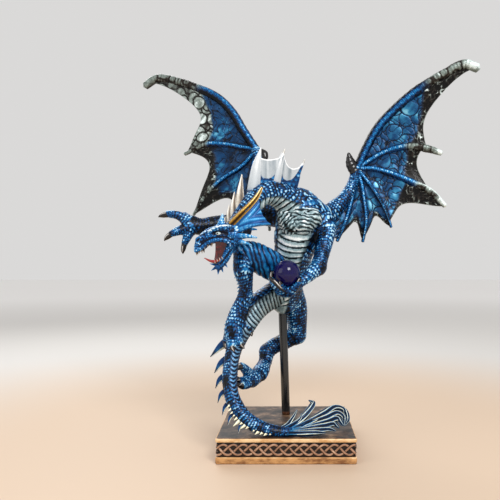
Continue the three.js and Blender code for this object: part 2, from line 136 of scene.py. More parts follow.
def smoothPath(points, spacing):
    # a centripetal curve through rows of [x, y, z, ...], with a point about every spacing mm
    rows = np.array(points, float)
    ends = np.vstack([2 * rows[0] - rows[1], rows, 2 * rows[-1] - rows[-2]])
    gaps = np.maximum(np.linalg.norm(np.diff(ends[:, :3], axis=0), axis=1), 1e-6)
    knots = np.concatenate([[0], np.cumsum(np.sqrt(gaps))])
    pieces = []
    for i in range(1, len(ends) - 2):
        count = max(2, int(gaps[i] / spacing) + 1)
        t = np.linspace(knots[i], knots[i + 1], count + 1)[:, None]
        if i < len(ends) - 3:
            t = t[:-1]
        t0, t1, t2, t3 = knots[i - 1:i + 3]
        p0, p1, p2, p3 = ends[i - 1:i + 3]
        a1 = (t1 - t) / (t1 - t0) * p0 + (t - t0) / (t1 - t0) * p1
        a2 = (t2 - t) / (t2 - t1) * p1 + (t - t1) / (t2 - t1) * p2
        a3 = (t3 - t) / (t3 - t2) * p2 + (t - t2) / (t3 - t2) * p3
        b1 = (t2 - t) / (t2 - t0) * a1 + (t - t0) / (t2 - t0) * a2
        b2 = (t3 - t) / (t3 - t1) * a2 + (t - t1) / (t3 - t1) * a3
        pieces.append((t2 - t) / (t2 - t1) * b1 + (t - t1) / (t2 - t1) * b2)
    return np.vstack(pieces)


def framed(points, spacing, facing):
    # a path with its run in mm, its directions, and the side that faces facing
    path = smoothPath(points, spacing)
    centre, radius = path[:, :3], np.maximum(path[:, 3], 0.12)
    run = np.concatenate([[0], np.cumsum(np.linalg.norm(np.diff(centre, axis=0), axis=1))])
    tangent = unit(np.gradient(centre, axis=0))
    keys = np.array(facing, float).reshape(-1, 3)
    place = np.linspace(0, len(keys) - 1, len(centre))
    front = np.stack([np.interp(place, np.arange(len(keys)), keys[:, k]) for k in range(3)], axis=1)
    front = unit(front - (front * tangent).sum(1, keepdims=True) * tangent)
    return {"centre": centre, "radius": radius, "run": run, "tangent": tangent, "front": front,
            "side": np.cross(tangent, front)}


# meshes: a part is {"points", "faces", and one array for each painted value}
def gridFaces(rows, columns, wrap=False, offset=0, flip=False):
    count = columns if wrap else columns - 1
    a = (np.arange(rows - 1)[:, None] * columns + np.arange(count)[None]).ravel()
    b = (np.arange(rows - 1)[:, None] * columns + (np.arange(count)[None] + 1) % columns).ravel()
    quads = np.stack([a, b, b + columns, a + columns], axis=1) + offset
    return (quads[:, ::-1] if flip else quads).tolist()


def closedFaces(rows, columns):
    # rings whose first and last one close on a point each, the mesh's last two
    faces = gridFaces(rows, columns, wrap=True)
    ends, top = rows * columns, (rows - 1) * columns
    for k in range(columns):
        after = (k + 1) % columns
        faces += [[ends, after, k], [ends + 1, top + k, top + after]]
    return faces


def roundGrid(rows, columns):
    # points on a ball of radius 1, from pole to pole
    v = np.linspace(0, math.pi, rows)[:, None]
    u = np.linspace(0, 2 * math.pi, columns, endpoint=False)[None]
    return np.stack([np.sin(v) * np.cos(u), np.sin(v) * np.sin(u), np.cos(v) + 0 * u], axis=-1)


def tube(points, sides=12, spacing=0.9, facing=(0, -1, 0), flat=1.0, shape=None, dome=0.5):
    # a closed tube; shape(run, turn, radius, along) gives its relief in mm and its tone
    f = framed(points, spacing * coarse, facing)
    turn = np.linspace(0, 2 * math.pi, sides, endpoint=False)[None]
    run, radius = f["run"][:, None], f["radius"][:, None]
    along = run / run[-1]
    relief, tone = shape(run, turn, radius, along) if shape else (0, 0.6 + 0 * turn * run)
    r = radius + relief
    ring = f["centre"][:, None] + f["front"][:, None] * (np.cos(turn) * r * flat)[..., None]
    ring = ring + f["side"][:, None] * (np.sin(turn) * r)[..., None]
    rows = len(ring)
    first = f["centre"][0] - f["tangent"][0] * f["radius"][0] * dome
    last = f["centre"][-1] + f["tangent"][-1] * f["radius"][-1] * dome
    verts = np.vstack([ring.reshape(-1, 3), first, last])
    tone = np.broadcast_to(tone, (rows, sides)).ravel()
    along = np.broadcast_to(along, (rows, sides)).ravel()
    return {"points": verts, "faces": closedFaces(rows, sides),
            "tone": np.append(tone, [tone[0], tone[-1]]), "along": np.append(along, [0, 1])}


def gather(parts):
    # several parts as one, with every painted value that any of them has
    names = {name for part in parts for name in part} - {"points", "faces"}
    offset = 0
    whole = {"points": np.vstack([part["points"] for part in parts]), "faces": []}
    for part in parts:
        whole["faces"] += [[corner + offset for corner in face] for face in part["faces"]]
        offset += len(part["points"])
    for name in names:
        whole[name] = np.concatenate([part.get(name, np.zeros(len(part["points"]))) for part in parts])
    return whole


def addPiece(name, part, material, replaced="dragon", smooth=True, inFigure=True):
    mesh = bpy.data.meshes.new(name)
    points = toWorld(part["points"]) if inFigure else part["points"] * mm
    mesh.from_pydata(points.tolist(), [], part["faces"])
    mesh.validate()
    shell = bmesh.new()
    shell.from_mesh(mesh)
    bmesh.ops.recalc_face_normals(shell, faces=shell.faces)
    shell.to_mesh(mesh)
    shell.free()
    for value in set(part) - {"points", "faces"}:
        layer = mesh.attributes.new(value, "FLOAT", "POINT")
        layer.data.foreach_set("value", np.ascontiguousarray(part[value], np.float32))
    mesh.polygons.foreach_set("use_smooth", [smooth] * len(mesh.polygons))
    mesh.materials.append(material)
    piece = bpy.data.objects.new(name, mesh)
    bpy.context.scene.collection.objects.link(piece)
    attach(piece, "root")
    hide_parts(replaced)
    return piece


# node groups shared by the finishes
def newGroup(name, inputs, outputs):
    group = bpy.data.node_groups.new(name, "ShaderNodeTree")
    for label, kind, value in inputs:
        socket = group.interface.new_socket(name=label, in_out="INPUT", socket_type=kind)
        socket.default_value = value
    for label, kind in outputs:
        group.interface.new_socket(name=label, in_out="OUTPUT", socket_type=kind)
    return group, group.nodes.new("NodeGroupInput"), group.nodes.new("NodeGroupOutput")


def fill(tree, node, values):
    # values are (input, value or another node's output)
    for key, value in values:
        socket = node.inputs[key] if isinstance(key, (str, int)) else key
        if isinstance(value, bpy.types.NodeSocket):
            tree.links.new(value, socket)
        else:
            socket.default_value = value


def addNode(tree, kind, values=(), **settings):
    node = tree.nodes.new(kind)
    for key, value in settings.items():
        setattr(node, key, value)
    fill(tree, node, values)
    return node


def painted(tree, name):
    # a value that the mesh carries on its points
    return addNode(tree, "ShaderNodeAttribute", attribute_name=name).outputs["Fac"]


def newMaterial(name):
    material = bpy.data.materials.new(name)
    material.use_nodes = True
    tree = material.node_tree
    return material, tree, tree.nodes["Principled BSDF"]


def placeOf(tree):
    return addNode(tree, "ShaderNodeTexCoord").outputs["Object"]


def noiseOf(tree, scale, detail, **others):
    values = [("Scale", scale), ("Detail", detail), *others.items()]
    return addNode(tree, "ShaderNodeTexNoise", values).outputs["Fac"]


def mathOf(tree, operation, *values):
    return addNode(tree, "ShaderNodeMath", enumerate(values), operation=operation).outputs[0]


def ranged(tree, value, low, high, first=0.0, last=1.0, **settings):
    # what runs from low to high comes to run from first to last
    values = [("Value", value), ("From Min", low), ("From Max", high), ("To Min", first), ("To Max", last)]
    return addNode(tree, "ShaderNodeMapRange", values, **settings).outputs["Result"]


def stepMask(tree, value, low, high):
    return ranged(tree, value, low, high, interpolation_type="SMOOTHSTEP")


def blendColour(tree, factor, a, b):
    node = addNode(tree, "ShaderNodeMix", data_type="RGBA")
    colours = [socket for socket in node.inputs if socket.type == "RGBA"]
    fill(tree, node, [("Factor", factor), (colours[0], a), (colours[1], b)])
    return [socket for socket in node.outputs if socket.type == "RGBA"][0]


def shadeRamp(tree, value, steps, shades):
    # from the first shade to the last one, with a soft step before each further shade
    colour = shades[0]
    for (low, high), shade in zip(steps, shades[1:]):
        colour = blendColour(tree, stepMask(tree, value, low, high), colour, shade)
    return colour


def srgb(red, green, blue):
    return tuple((c / 255 / 12.92 if c < 10.3 else ((c / 255 + 0.055) / 1.055) ** 2.4)
                 for c in (red, green, blue)) + (1.0,)


paintLabels = ("Deep", "Body", "Bright", "Edge")
paintSteps = ((0.13, 0.49), (0.45, 0.78), (0.74, 0.95))
paintFinish = {"bump": 0.25, "bumpDepth": 0.15, "coatRoughness": 0.18, "specular": 0.2}


def makeBrushedPaint():
    # deep colour where a dark wash and painted shade lie in the hollows, body colour, then dry brush and
    # painted highlight over what stands proud, all from the tone
    group, given, made = newGroup("brushedPaint", [
        ("Tone", "NodeSocketFloat", 0.5), ("Mottle", "NodeSocketFloat", 0.2),
        ("Deep", "NodeSocketColor", (0, 0, 0, 1)), ("Body", "NodeSocketColor", (0.1, 0.1, 0.5, 1)),
        ("Bright", "NodeSocketColor", (0.2, 0.4, 0.8, 1)), ("Edge", "NodeSocketColor", (1, 1, 1, 1)),
    ], [("Color", "NodeSocketColor"), ("Roughness", "NodeSocketFloat"), ("Height", "NodeSocketFloat")])
    place = placeOf(group)
    patches = noiseOf(group, 230.0, 3.0, Vector=place)
    grain = noiseOf(group, 1500.0, 2.0, Vector=place)
    centred = mathOf(group, "SUBTRACT", mathOf(group, "ADD", patches, grain), 1.0)
    shifted = mathOf(group, "MULTIPLY_ADD", centred, given.outputs["Mottle"], given.outputs["Tone"])
    colour = shadeRamp(group, shifted, paintSteps, [given.outputs[label] for label in paintLabels])
    fill(group, made, [("Color", colour), ("Roughness", ranged(group, grain, 0.3, 0.7, 0.28, 0.46)),
                       ("Height", grain)])
    return group


brushedPaint = makeBrushedPaint()


def paintedMaterial(name, coats, metallic=0.15, coat=0.07):
    # coats is a list of (attribute that masks it, mottle, deep, body, bright, edge); the first has none
    material, tree, shader = newMaterial(name)
    tone = painted(tree, "tone")
    for mask, mottle, *shades in coats:
        values = [("Tone", tone), ("Mottle", mottle)]
        values += [(label, srgb(*shade)) for label, shade in zip(paintLabels, shades)]
        paint = addNode(tree, "ShaderNodeGroup", values, node_tree=brushedPaint)
        if mask is None:
            first, colour = paint, paint.outputs["Color"]
        else:
            colour = blendColour(tree, painted(tree, mask), colour, paint.outputs["Color"])
    bumped = addNode(tree, "ShaderNodeBump", [
        ("Height", first.outputs["Height"]), ("Strength", paintFinish["bump"]),
        ("Distance", paintFinish["bumpDepth"] * mm)])
    fill(tree, shader, [("Base Color", colour), ("Roughness", first.outputs["Roughness"]),
                        ("Normal", bumped.outputs["Normal"]), ("Metallic", metallic),
                        ("Coat Weight", coat), ("Coat Roughness", paintFinish["coatRoughness"]),
                        ("Specular IOR Level", paintFinish["specular"])])
    return material


blueShades = ((1, 6, 14), (4, 58, 112), (22, 124, 186), (184, 226, 242))
icyShades = ((2, 14, 40), (14, 88, 156), (62, 154, 212), (222, 242, 252))
paleShades = ((4, 7, 11), (66, 88, 96), (152, 178, 184), (240, 246, 248))
webShades = ((2, 9, 24), (8, 60, 104), (44, 120, 160), (118, 182, 206))
rimShades = ((6, 5, 5), (44, 38, 33), (124, 136, 130), (226, 238, 236))
clawShades = ((5, 4, 5), (16, 12, 13), (50, 42, 40), (226, 224, 218))
goldShades = ((40, 24, 6), (136, 96, 30), (206, 166, 76), (250, 238, 190))
creamShades = ((26, 16, 12), (122, 104, 84), (208, 200, 186), (248, 246, 240))
pearlShades = ((24, 36, 62), (134, 146, 154), (196, 202, 206), (246, 248, 250))
finShades = ((2, 9, 22), (6, 58, 112), (44, 128, 172), (238, 236, 206))
skinPaint = paintedMaterial("skinPaint", [(None, 0.35, *blueShades), ("icy", 0.3, *icyShades),
                                          ("pale", 0.3, *paleShades)])
webPaint = paintedMaterial("webPaint", [(None, 0.22, *webShades), ("skin", 0.35, *blueShades),
                                        ("rim", 0.35, *rimShades)], metallic=0.25)
clawPaint = paintedMaterial("clawPaint", [(None, 0.2, *clawShades)], metallic=0.0, coat=0.6)
goldPaint = paintedMaterial("goldPaint", [(None, 0.2, *goldShades)], metallic=0.35)
creamPaint = paintedMaterial("creamPaint", [(None, 0.3, *creamShades)], metallic=0.0)
pearlPaint = paintedMaterial("pearlPaint", [(None, 0.1, *pearlShades), ("skin", 0.3, *blueShades),
                                            ("dark", 0.1, *clawShades)], metallic=0.0, coat=0.2)
finPaint = paintedMaterial("finPaint", [(None, 0.25, *finShades), ("dark", 0.1, *clawShades)])
print("paints mixed")


# relief patterns: heights from 0 to 1, with a tone where it differs: dry brush and painted highlight on what
# stands proud, painted shade on what lies under
def scaleRelief(rows, columns):
    # rows run along the limb; each row's rounded tips lie over the next row's roots; the tone is painted
    # shade at a scale's root, under the tips over it, and rises to dry brush and painted highlight at its tip
    height, tone = np.zeros(np.shape(rows)), np.zeros(np.shape(rows))
    done = np.zeros(np.shape(rows), bool)
    for back in (1, 0):
        row = np.floor(rows) - back
        y = rows - row
        x = columns - 0.5 * (row % 2)
        number = hashed(31, row, np.round(x))
        x = x - np.round(x)
        half = 0.6 * np.sqrt(np.clip(1 - (np.clip(y - 0.5, 0, None) / 0.95) ** 2, 0.0001, 1))
        inside = ~done & ((np.abs(x) < half) | (back == 0))
        across = np.clip(x / half, -1, 1) ** 2
        lift = (0.15 + 0.85 * rise(0, 1.45, y)) * (1 - 0.4 * across)
        # painted shade at the root, rising to painted highlight at the tip
        shade = rise(0.2, 1.25, y) * (1 - 0.5 * across) * (0.56 + 0.5 * number)
        height[inside] = lift[inside]
        tone[inside] = shade[inside]
        done |= inside
    return height, tone


def plateRelief(rows, across, sweep, groove):
    # overlapping belly plates that bow towards the tail in their middle
    y = (rows + sweep * across ** 2) % 1
    height = rise(0, 0.3, y) * (1 - 0.5 * y)
    return height, rise(0, 0.24, y - groove) * (1.04 - 0.42 * y)


def ridgeRelief(points, folds, seed):
    # flowing folds: sharp ridges bent by slow noise, or rings round a centre, with dark hollows
    size, width, stretch = folds["size"], folds["width"], np.array(folds["stretch"])
    warp = softNoise(points, size * 1.7, seed) + 0.4 * softNoise(points, size * 0.7, seed + 2) - 0.7
    if folds["centre"]:
        turned = np.linalg.norm((points - np.array(folds["centre"])) * stretch, axis=1)
    else:
        turned = points @ stretch
    turned = turned + warp * size * 2.4 * folds["bend"]
    wave = np.abs(((turned / size) % 1) * 2 - 1)
    wave = rise(width - 0.3, width + 0.3, wave) * (0.6 + 0.5 * softNoise(points, size * 0.8, seed + 5))
    return np.clip(wave, 0, 1)


# limbs that are cast together into one skin, with the finish of a plain one
plainSkin = {"pitch": 2.7, "narrow": 0.8, "relief": 0.5, "lumps": 1.3, "contrast": 1.0, "light": 0.0,
             "belly": None, "paleTop": 999, "platePitch": 4.2, "sweep": 0.9, "groove": (0.1, 0.1),
             "plateRelief": 0.7, "bellyLight": 1.0, "folds": None, "icyBelly": (0, 0), "icy": 0}
# the rough cast swells a little, and then settles onto the limbs' blended skin in short steps
castLook = {"swell": 0.25, "sides": 14, "spacing": 2.5, "settlings": 3, "longestStep": 1.5, "margin": 7.0,
            "farthest": 20}
batchSize = 6000  # points measured at once, to save memory


def limb(points, facing=(0, -1, 0), **changes):
    style = {**plainSkin, **changes}
    made = framed(points, 2.4, facing)
    middle = float(np.mean(made["radius"]))
    each = (made["radius"][1:] + made["radius"][:-1]) / (2 * middle)
    steps = np.diff(made["run"]) / (style["pitch"] * np.maximum(each, 0.45))
    made["rows"] = np.concatenate([[0], np.cumsum(steps)])
    made["columns"] = max(6, round(2 * math.pi * middle / (style["pitch"] * style["narrow"])))
    made["style"] = style
    return made


def nearestOn(made, points):
    # gap to the limb's skin, the place along its samples, and the way from its centre line
    a, step = made["centre"][:-1], np.diff(made["centre"], axis=0)
    grow = np.diff(made["radius"])
    length = np.maximum(np.linalg.norm(step, axis=1), 1e-9)
    taper = np.clip(grow / length, -0.9, 0.9)
    # where a limb tapers, a point's nearest skin lies on towards its thicker end
    shift = taper / np.sqrt(1 - taper ** 2) / length
    gap, place, away = [], [], []
    for start in range(0, len(points), batchSize):
        part = points[start:start + batchSize, None] - a[None]
        t = (part * step).sum(2) / length ** 2
        off = np.sqrt(np.maximum((part ** 2).sum(2) - (t * length) ** 2, 0))
        t = np.clip(t + off * shift, 0, 1)
        outward = part - t[..., None] * step
        reach = np.linalg.norm(outward, axis=2) - made["radius"][:-1] - t * grow
        k = reach.argmin(1)
        rows = np.arange(len(k))
        gap.append(reach[rows, k])
        place.append(k + t[rows, k])
        away.append(outward[rows, k])
    return np.concatenate(gap), np.concatenate(place), np.vstack(away)


def measureLimbs(points, limbs, blend):
    # smooth distance to all limbs and its direction, and each point's own limb, place and way out
    count = len(points)
    total, pull, outward = np.zeros(count), np.zeros((count, 3)), np.zeros((count, 3))
    best, owner, place = np.full(count, 1e9), np.zeros(count, int), np.zeros(count)
    margin, farthest = castLook["margin"], castLook["farthest"]
    for number, made in enumerate(limbs):
        low = (made["centre"] - made["radius"][:, None]).min(0) - margin
        high = (made["centre"] + made["radius"][:, None]).max(0) + margin
        near = np.where(((points > low) & (points < high)).all(1))[0]
        if not len(near):
            continue
        gap, spot, away = nearestOn(made, points[near])
        weight = np.exp(-np.clip(gap, -farthest, farthest) / blend)
        total[near] += weight
        pull[near] += weight[:, None] * unit(away)
        closer = gap < best[near]
        mine = near[closer]
        best[mine], owner[mine], place[mine] = gap[closer], number, spot[closer]
        outward[mine] = away[closer]
    return -blend * np.log(np.maximum(total, 1e-9)), unit(pull), owner, place, outward


def castLimbs(limbs, voxel, blend):
    # one closed skin over all limbs
    parts = []
    for made in limbs:
        rows = np.column_stack([made["centre"], made["radius"] + castLook["swell"]])
        parts.append(tube(rows[::2] if len(rows) > 6 else rows, sides=castLook["sides"],
                          spacing=castLook["spacing"], facing=made["front"][::2], dome=0.7))
    raw = gather(parts)
    mesh = bpy.data.meshes.new("cast")
    mesh.from_pydata(raw["points"].tolist(), [], raw["faces"])
    cast = bpy.data.objects.new("cast", mesh)
    bpy.context.scene.collection.objects.link(cast)
    remesh = cast.modifiers.new("voxels", "REMESH")
    remesh.mode = "VOXEL"
    remesh.voxel_size = voxel * coarse
    done = bpy.data.meshes.new_from_object(cast.evaluated_get(bpy.context.evaluated_depsgraph_get()))
    points = np.zeros(len(done.vertices) * 3)
    done.vertices.foreach_get("co", points)
    faces = [list(p.vertices) for p in done.polygons]
    bpy.data.objects.remove(cast)
    bpy.data.meshes.remove(done)
    points = points.reshape(-1, 3)
    for _ in range(castLook["settlings"]):
        distance, outward, *_ = measureLimbs(points, limbs, blend)
        nudge = distance.clip(-castLook["longestStep"], castLook["longestStep"])
        points = points - nudge[:, None] * outward
    return points, faces


def quadsOf(faces):
    return np.array([f if len(f) == 4 else f + f[-1:] for f in faces])


def normalsOf(points, faces):
    quads = quadsOf(faces)
    corners = points[quads]
    cross = np.cross(corners[:, 2] - corners[:, 0], corners[:, 3] - corners[:, 1])
    normals = np.zeros_like(points)
    for k in range(4):
        np.add.at(normals, quads[:, k], cross)
    return unit(normals)


def hollowsOf(points, faces, normals, rounds):
    # how far each vertex lies under its neighbours, in units of 1 / mm: hollows are over 0
    quads = quadsOf(faces)
    a = np.concatenate([quads[:, k] for k in range(4)])
    b = np.concatenate([quads[:, (k + 1) % 4] for k in range(4)])
    count = np.maximum(np.bincount(a, minlength=len(points)) + np.bincount(b, minlength=len(points)), 1)

    def spread(values):
        return (np.bincount(a, values[b], len(points)) + np.bincount(b, values[a], len(points))) / count

    step = np.median(np.linalg.norm(points[a] - points[b], axis=1))
    mean = np.stack([spread(points[:, k]) for k in range(3)], axis=1)
    hollow = ((mean - points) * normals).sum(1) * 4 / step ** 2
    for _ in range(rounds):
        hollow = spread(hollow)
    return hollow


def strokeWeight(points, stroke):
    # how strongly a drawn stroke, a list of points and a width, works on each vertex
    line = smoothPath([list(p) + [0] for p in stroke["points"]], 1.0)[:, :3]
    reach = stroke["width"] * 2.5
    weight = np.zeros(len(points))
    near = np.where(((points > line.min(0) - reach) & (points < line.max(0) + reach)).all(1))[0]
    for start in range(0, len(near), batchSize):
        some = near[start:start + batchSize]
        gap = np.linalg.norm(points[some, None] - line[None], axis=2).min(1)
        weight[some] = np.exp(-(gap / stroke["width"]) ** 2)
    return weight


# how far the scales stray from their rows, as size and strength, and how the relief is painted: dark wash and
# painted shade in creases and hollows, dry brush and painted highlight on edges, random patches, painted
# light on tops
skinLook = {"rowStray": ((7, 1.3), (2.6, 0.5)), "columnStray": ((7, 1.2), (2.6, 0.5)), "lumpSize": 4.6,
            "creaseDark": 0.92, "hollowDark": 0.3, "edgeLight": 0.16, "patches": 0.22, "patchSize": 8.0,
            "topLight": 0.06}


def strayed(values, spot, strays, seed):
    for k, (size, strength) in enumerate(strays):
        values = values + strength * (softNoise(spot, size, seed + 6 * k) - 0.5)
    return values


def limbSkin(made, number, spot, at, away):
    # relief, tone, and the shares of pale and icy belly, on the skin that one limb owns
    style, samples = made["style"], np.arange(len(made["run"]))

    def keyed(keys):
        return np.interp(at / (len(samples) - 1), np.linspace(0, 1, len(keys)), keys)

    k = np.clip(np.round(at).astype(int), 0, len(samples) - 1)
    turn = np.arctan2((away * made["side"][k]).sum(1), (away * made["front"][k]).sum(1))
    rows = strayed(np.interp(at, samples, made["rows"]), spot, skinLook["rowStray"], 21)
    columns = strayed(turn / (2 * math.pi) * made["columns"], spot, skinLook["columnStray"], 22)
    height, shade = scaleRelief(rows, columns)
    lump = softNoise(spot * [1, 1, 0.6], skinLook["lumpSize"], 41) - 0.5
    raised = (height + style["lumps"] * lump) * style["relief"]
    shade = shade * style["contrast"] * (1 + 0.9 * lump) + style["light"] + 0.2 * lump
    belly = np.zeros(len(spot))
    if style["belly"]:
        across = np.abs(turn) / np.maximum(np.radians(keyed(style["belly"])), 0.01)
        ragged = 0.12 * (softNoise(spot, 3.0, 3) - 0.5)
        belly = rise(1.04, 0.96, across + ragged) * rise(1, -1, spot[:, 2] - style["paleTop"])
        plateRows = np.interp(at, samples, made["run"]) / style["platePitch"]
        plateRows = plateRows + 0.15 * (softNoise(spot, 6, 23) - 0.5)
        high, light = plateRelief(plateRows, np.clip(across, 0, 1.2), style["sweep"], keyed(style["groove"]))
        light = light * (1 - 0.5 * rise(0.7, 1.0, across))
        raised = raised * (1 - belly) + belly * high * style["plateRelief"]
        shade = shade * (1 - belly) + belly * light * style["bellyLight"]
    if style["folds"]:
        folds = style["folds"]
        ridges = ridgeRelief(spot, folds, number)
        where = folds["where"](spot) if "where" in folds else 1.0
        raised = raised * (1 - where) + where * ridges * folds["lift"]
        shade = shade * (1 - where) + where * (folds["base"] + ridges * folds["brush"])
    icyShare = keyed(style["icyBelly"])
    return raised, shade, belly * (1 - icyShare), np.maximum(style["icy"], belly * icyShare)


def sculpt(limbs, look, strokes=()):
    # the skin with each limb's own scales, plates and folds raised on it
    points, faces = castLimbs(limbs, look["voxel"], look["blend"])
    *_, owner, place, away = measureLimbs(points, limbs, look["blend"])
    normals = normalsOf(points, faces)
    creases = hollowsOf(points, faces, normals, 3)
    layers = np.zeros((4, len(points)))
    for number, made in enumerate(limbs):
        mine = np.where(owner == number)[0]
        if len(mine):
            layers[:, mine] = limbSkin(made, number, points[mine], place[mine], away[mine])
    relief, tone, pale, icy = layers
    for stroke in strokes:
        weight = strokeWeight(points, stroke)
        calm = stroke.get("calm", 0) * weight
        relief = relief * (1 - calm) + stroke["lift"] * weight
        tone = tone * (1 - calm) + stroke["tone"] * weight
        if "pale" in stroke:
            pale += (stroke["pale"] - pale) * np.clip(weight * 2, 0, 1)
    points = points + normals * relief[:, None]
    edges = hollowsOf(points, faces, normalsOf(points, faces), 1)
    # painted shade where the limbs meet, deepening the dark wash in the creases; dry brush and painted
    # highlight on raised edges; dark wash and painted shade in the relief's hollows
    tone = tone * (1 - skinLook["creaseDark"] * rise(0.04, 0.34, creases))
    tone = tone + skinLook["edgeLight"] * rise(0.1, 1.0, -edges)
    tone = tone - skinLook["hollowDark"] * look["washAndShade"] * rise(0.05, 0.9, edges)
    tone = tone + skinLook["patches"] * (softNoise(points, skinLook["patchSize"], 11) - 0.5)
    # painted light: what faces up is made lighter
    tone = np.clip(tone + skinLook["topLight"] * normals[:, 2], 0, 1)
    return {"points": points, "faces": faces, "tone": tone, "pale": np.clip(pale, 0, 1),
            "icy": np.clip(icy, 0, 1)}


def onPlinth(part, gap=0.3):
    # nothing of the figure dips into the plinth
    part["points"][:, 2] = np.maximum(part["points"][:, 2], gap / share)
    return part


# the figure's pose
torso = [[-2.6, 20, 92, 9], [-1, 19, 103, 11.5], [2.4, 16, 119, 13], [5.6, 13, 135, 15.5],
         [9, 13, 149, 18.5], [12, 15, 161, 18.5], [10, 14, 170, 14]]
neck = [[12, 14, 165, 15.5], [2, 8, 173, 12], [-8.6, 0, 178.5, 9.4], [-17.6, -8, 177.5, 8],
        [-26.5, -16, 168.5, 7.4], [-33.5, -21, 158.5, 6.9], [-38, -25, 148.5, 6.6]]
tail = [[-2, 19, 103, 10.5], [-13.5, 14, 97, 9.8], [-25, 6, 88, 9.3], [-33, -3, 74.5, 7.6],
        [-39.6, -12, 60.5, 5.8], [-41.8, -21, 47.5, 5.3], [-41.8, -29, 34.5, 5.1], [-38.6, -35, 23.8, 5.1],
        [-31.5, -39, 13.6, 5.1], [-21, -41, 6.8, 4.7], [-10.2, -42, 3.6, 3.9], [1.5, -41, 2.4, 3.2],
        [12, -37, 2.2, 2.4]]
legs = {
    "farThigh": [[-4, 10, 116, 10], [-16.4, 0, 124.5, 11.2], [-28.5, -8, 131, 9.6], [-33.7, -10, 132.5, 6.6]],
    "farShin": [[-33.7, -10, 132.5, 6.4], [-33.5, -12, 120, 7.3], [-31.5, -9, 107, 5], [-32.3, -6, 98, 4.8]],
    "farFoot": [[-32.3, -6, 98, 4.8], [-37.4, -8, 86.5, 6.1], [-40.8, -11, 76, 6], [-41.3, -13, 70, 5]],
    "nearThigh": [[2.5, 24, 103.5, 9.3], [6.5, 29, 89.5, 9.4], [8.2, 32, 76.5, 8.2], [8.2, 34, 64, 6.6]],
    "nearShin": [[8.2, 34, 63.5, 6.4], [-0.5, 34, 59.3, 6.6], [-9.5, 33, 55.3, 6.2], [-17, 31, 50.6, 5.3]],
    "nearFoot": [[-17, 31, 50.6, 5.3], [-18.4, 26, 42.2, 5.1], [-22, 17, 35.3, 5.8], [-28, 6, 32, 5.4]],
}
arms = {
    "farArm": [[0, 24, 163, 10], [-24, 24, 163.2, 7.6], [-42, 20, 158, 6.7], [-58.6, 16, 155, 7.3],
               [-68.6, 12, 153.5, 6.6], [-78, 10, 155.5, 5.6]],
    "nearArm": [[25, 15, 161, 11.5], [31, 8.5, 151, 8], [29, 2.5, 138, 6.2], [26.3, -3, 127.5, 5.6],
                [24.5, -6, 120.5, 5.3]],
    "nearForearm": [[24.5, -6, 120.5, 5.3], [18, -10, 115.5, 4.6], [12, -13, 111, 4.2], [6, -15, 106.5, 4],
                    [2, -16, 102.6, 4], [-5, -16, 102.8, 3.2]],
}
# toes and fingers end in a claw that starts at their last point but one
toes = [
    [[-41.3, -13, 69, 3.4], [-42, -18, 62.5, 2.7], [-38.5, -20, 56, 0.5]],
    [[-38.6, -14, 71, 3.4], [-36, -17, 64, 2.6], [-32, -16, 59, 0.5]],
    [[-44, -11, 70.5, 3.2], [-46.5, -12, 64, 2.5], [-45.5, -13, 57.5, 0.5]],
    [[-36, -9, 77, 3.1], [-30, -8, 73, 2.3], [-27, -6, 67, 0.5]],
    [[-28, 6, 33.5, 4.4], [-32.5, -3, 41, 3.3], [-35.3, -10, 45, 2.5], [-38.5, -16, 42, 0.5]],
    [[-28.5, 5, 31, 4.4], [-34, -4, 31.5, 3.5], [-37.6, -12, 34, 2.4], [-39, -18, 39, 0.5]],
    [[-26.3, 4, 32, 4], [-30.4, -6, 30, 3.2], [-34.5, -14, 30, 2.3], [-37, -21, 34, 0.5]],
    [[-20.5, 18, 37, 4], [-19.5, 14, 33, 2.5], [-22, 10, 29.5, 0.5]],
]
farFingers = [
    [[-78, 9, 157, 4], [-87.6, 6, 162.4, 3.2], [-94.4, 4, 163, 2.4], [-102, 3, 160.5, 0.5]],
    [[-78, 7, 153, 4], [-86, 2, 149.4, 3.2], [-91, -1, 147, 2.3], [-96.2, -2, 141.4, 0.5]],
    [[-76, 8, 151.5, 4], [-79.3, 4, 144, 3], [-81.3, 2, 138.4, 2.2], [-82, 1, 131.2, 0.5]],
    [[-77, 13, 158, 3.6], [-84, 18, 163, 2.8], [-91, 20, 161.5, 0.5]],
]

# ball, in the figure's millimetres too, and the fingers round it
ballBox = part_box("ball")
ballCentre = (np.array(ballBox[0]) + np.array(ballBox[1])) / 2
ballRadius = (ballBox[1].x - ballBox[0].x) / 2
ballSpot = (ballCentre - np.array([0, 0, plinthTop])) / (share * mm)
ballReach = ballRadius / (share * mm)
# each finger's azimuth, and how far up from below the ball it reaches, in degrees
clasp = {"fingers": [(192, 100), (150, 104), (240, 62), (330, 76)], "radii": (2.6, 2.3, 1.9, 0.5),
         "lowest": 18, "gap": 0.3}


def claspingPoints(azimuth, reach):
    points = []
    turn = math.radians(azimuth)
    for k, radius in enumerate(clasp["radii"]):
        up = math.radians(clasp["lowest"] + (reach - clasp["lowest"]) * k / (len(clasp["radii"]) - 1))
        away = ballReach + clasp["gap"] + radius
        out = np.array([math.sin(up) * math.cos(turn), math.sin(up) * math.sin(turn), -math.cos(up)])
        points.append(list(ballSpot + out * away) + [radius])
    return points


nearFingers = [claspingPoints(*finger) for finger in clasp["fingers"]]


def chestOnly(spot):
    # the wrinkled chest, between the throat and the belly plates
    return rise(145, 149, spot[:, 2]) * rise(169, 166, spot[:, 2]) * rise(9, 4, spot[:, 1])


def innerThigh(spot):
    return rise(4, -6, spot[:, 1] + 0.2 * spot[:, 0])


chestFolds = {"size": 3.3, "stretch": (0.5, 0.3, 1.2), "lift": 0.8, "base": 0.06, "brush": 0.74,
              "bend": 0.62, "width": 0.3, "centre": (6, -4, 145)}
thighFolds = {"size": 3.4, "stretch": (0.86, 0.1, 0.26), "lift": 0.7, "base": 0.2, "brush": 0.5,
              "bend": 0.3, "width": 0.3, "centre": None, "where": innerThigh}


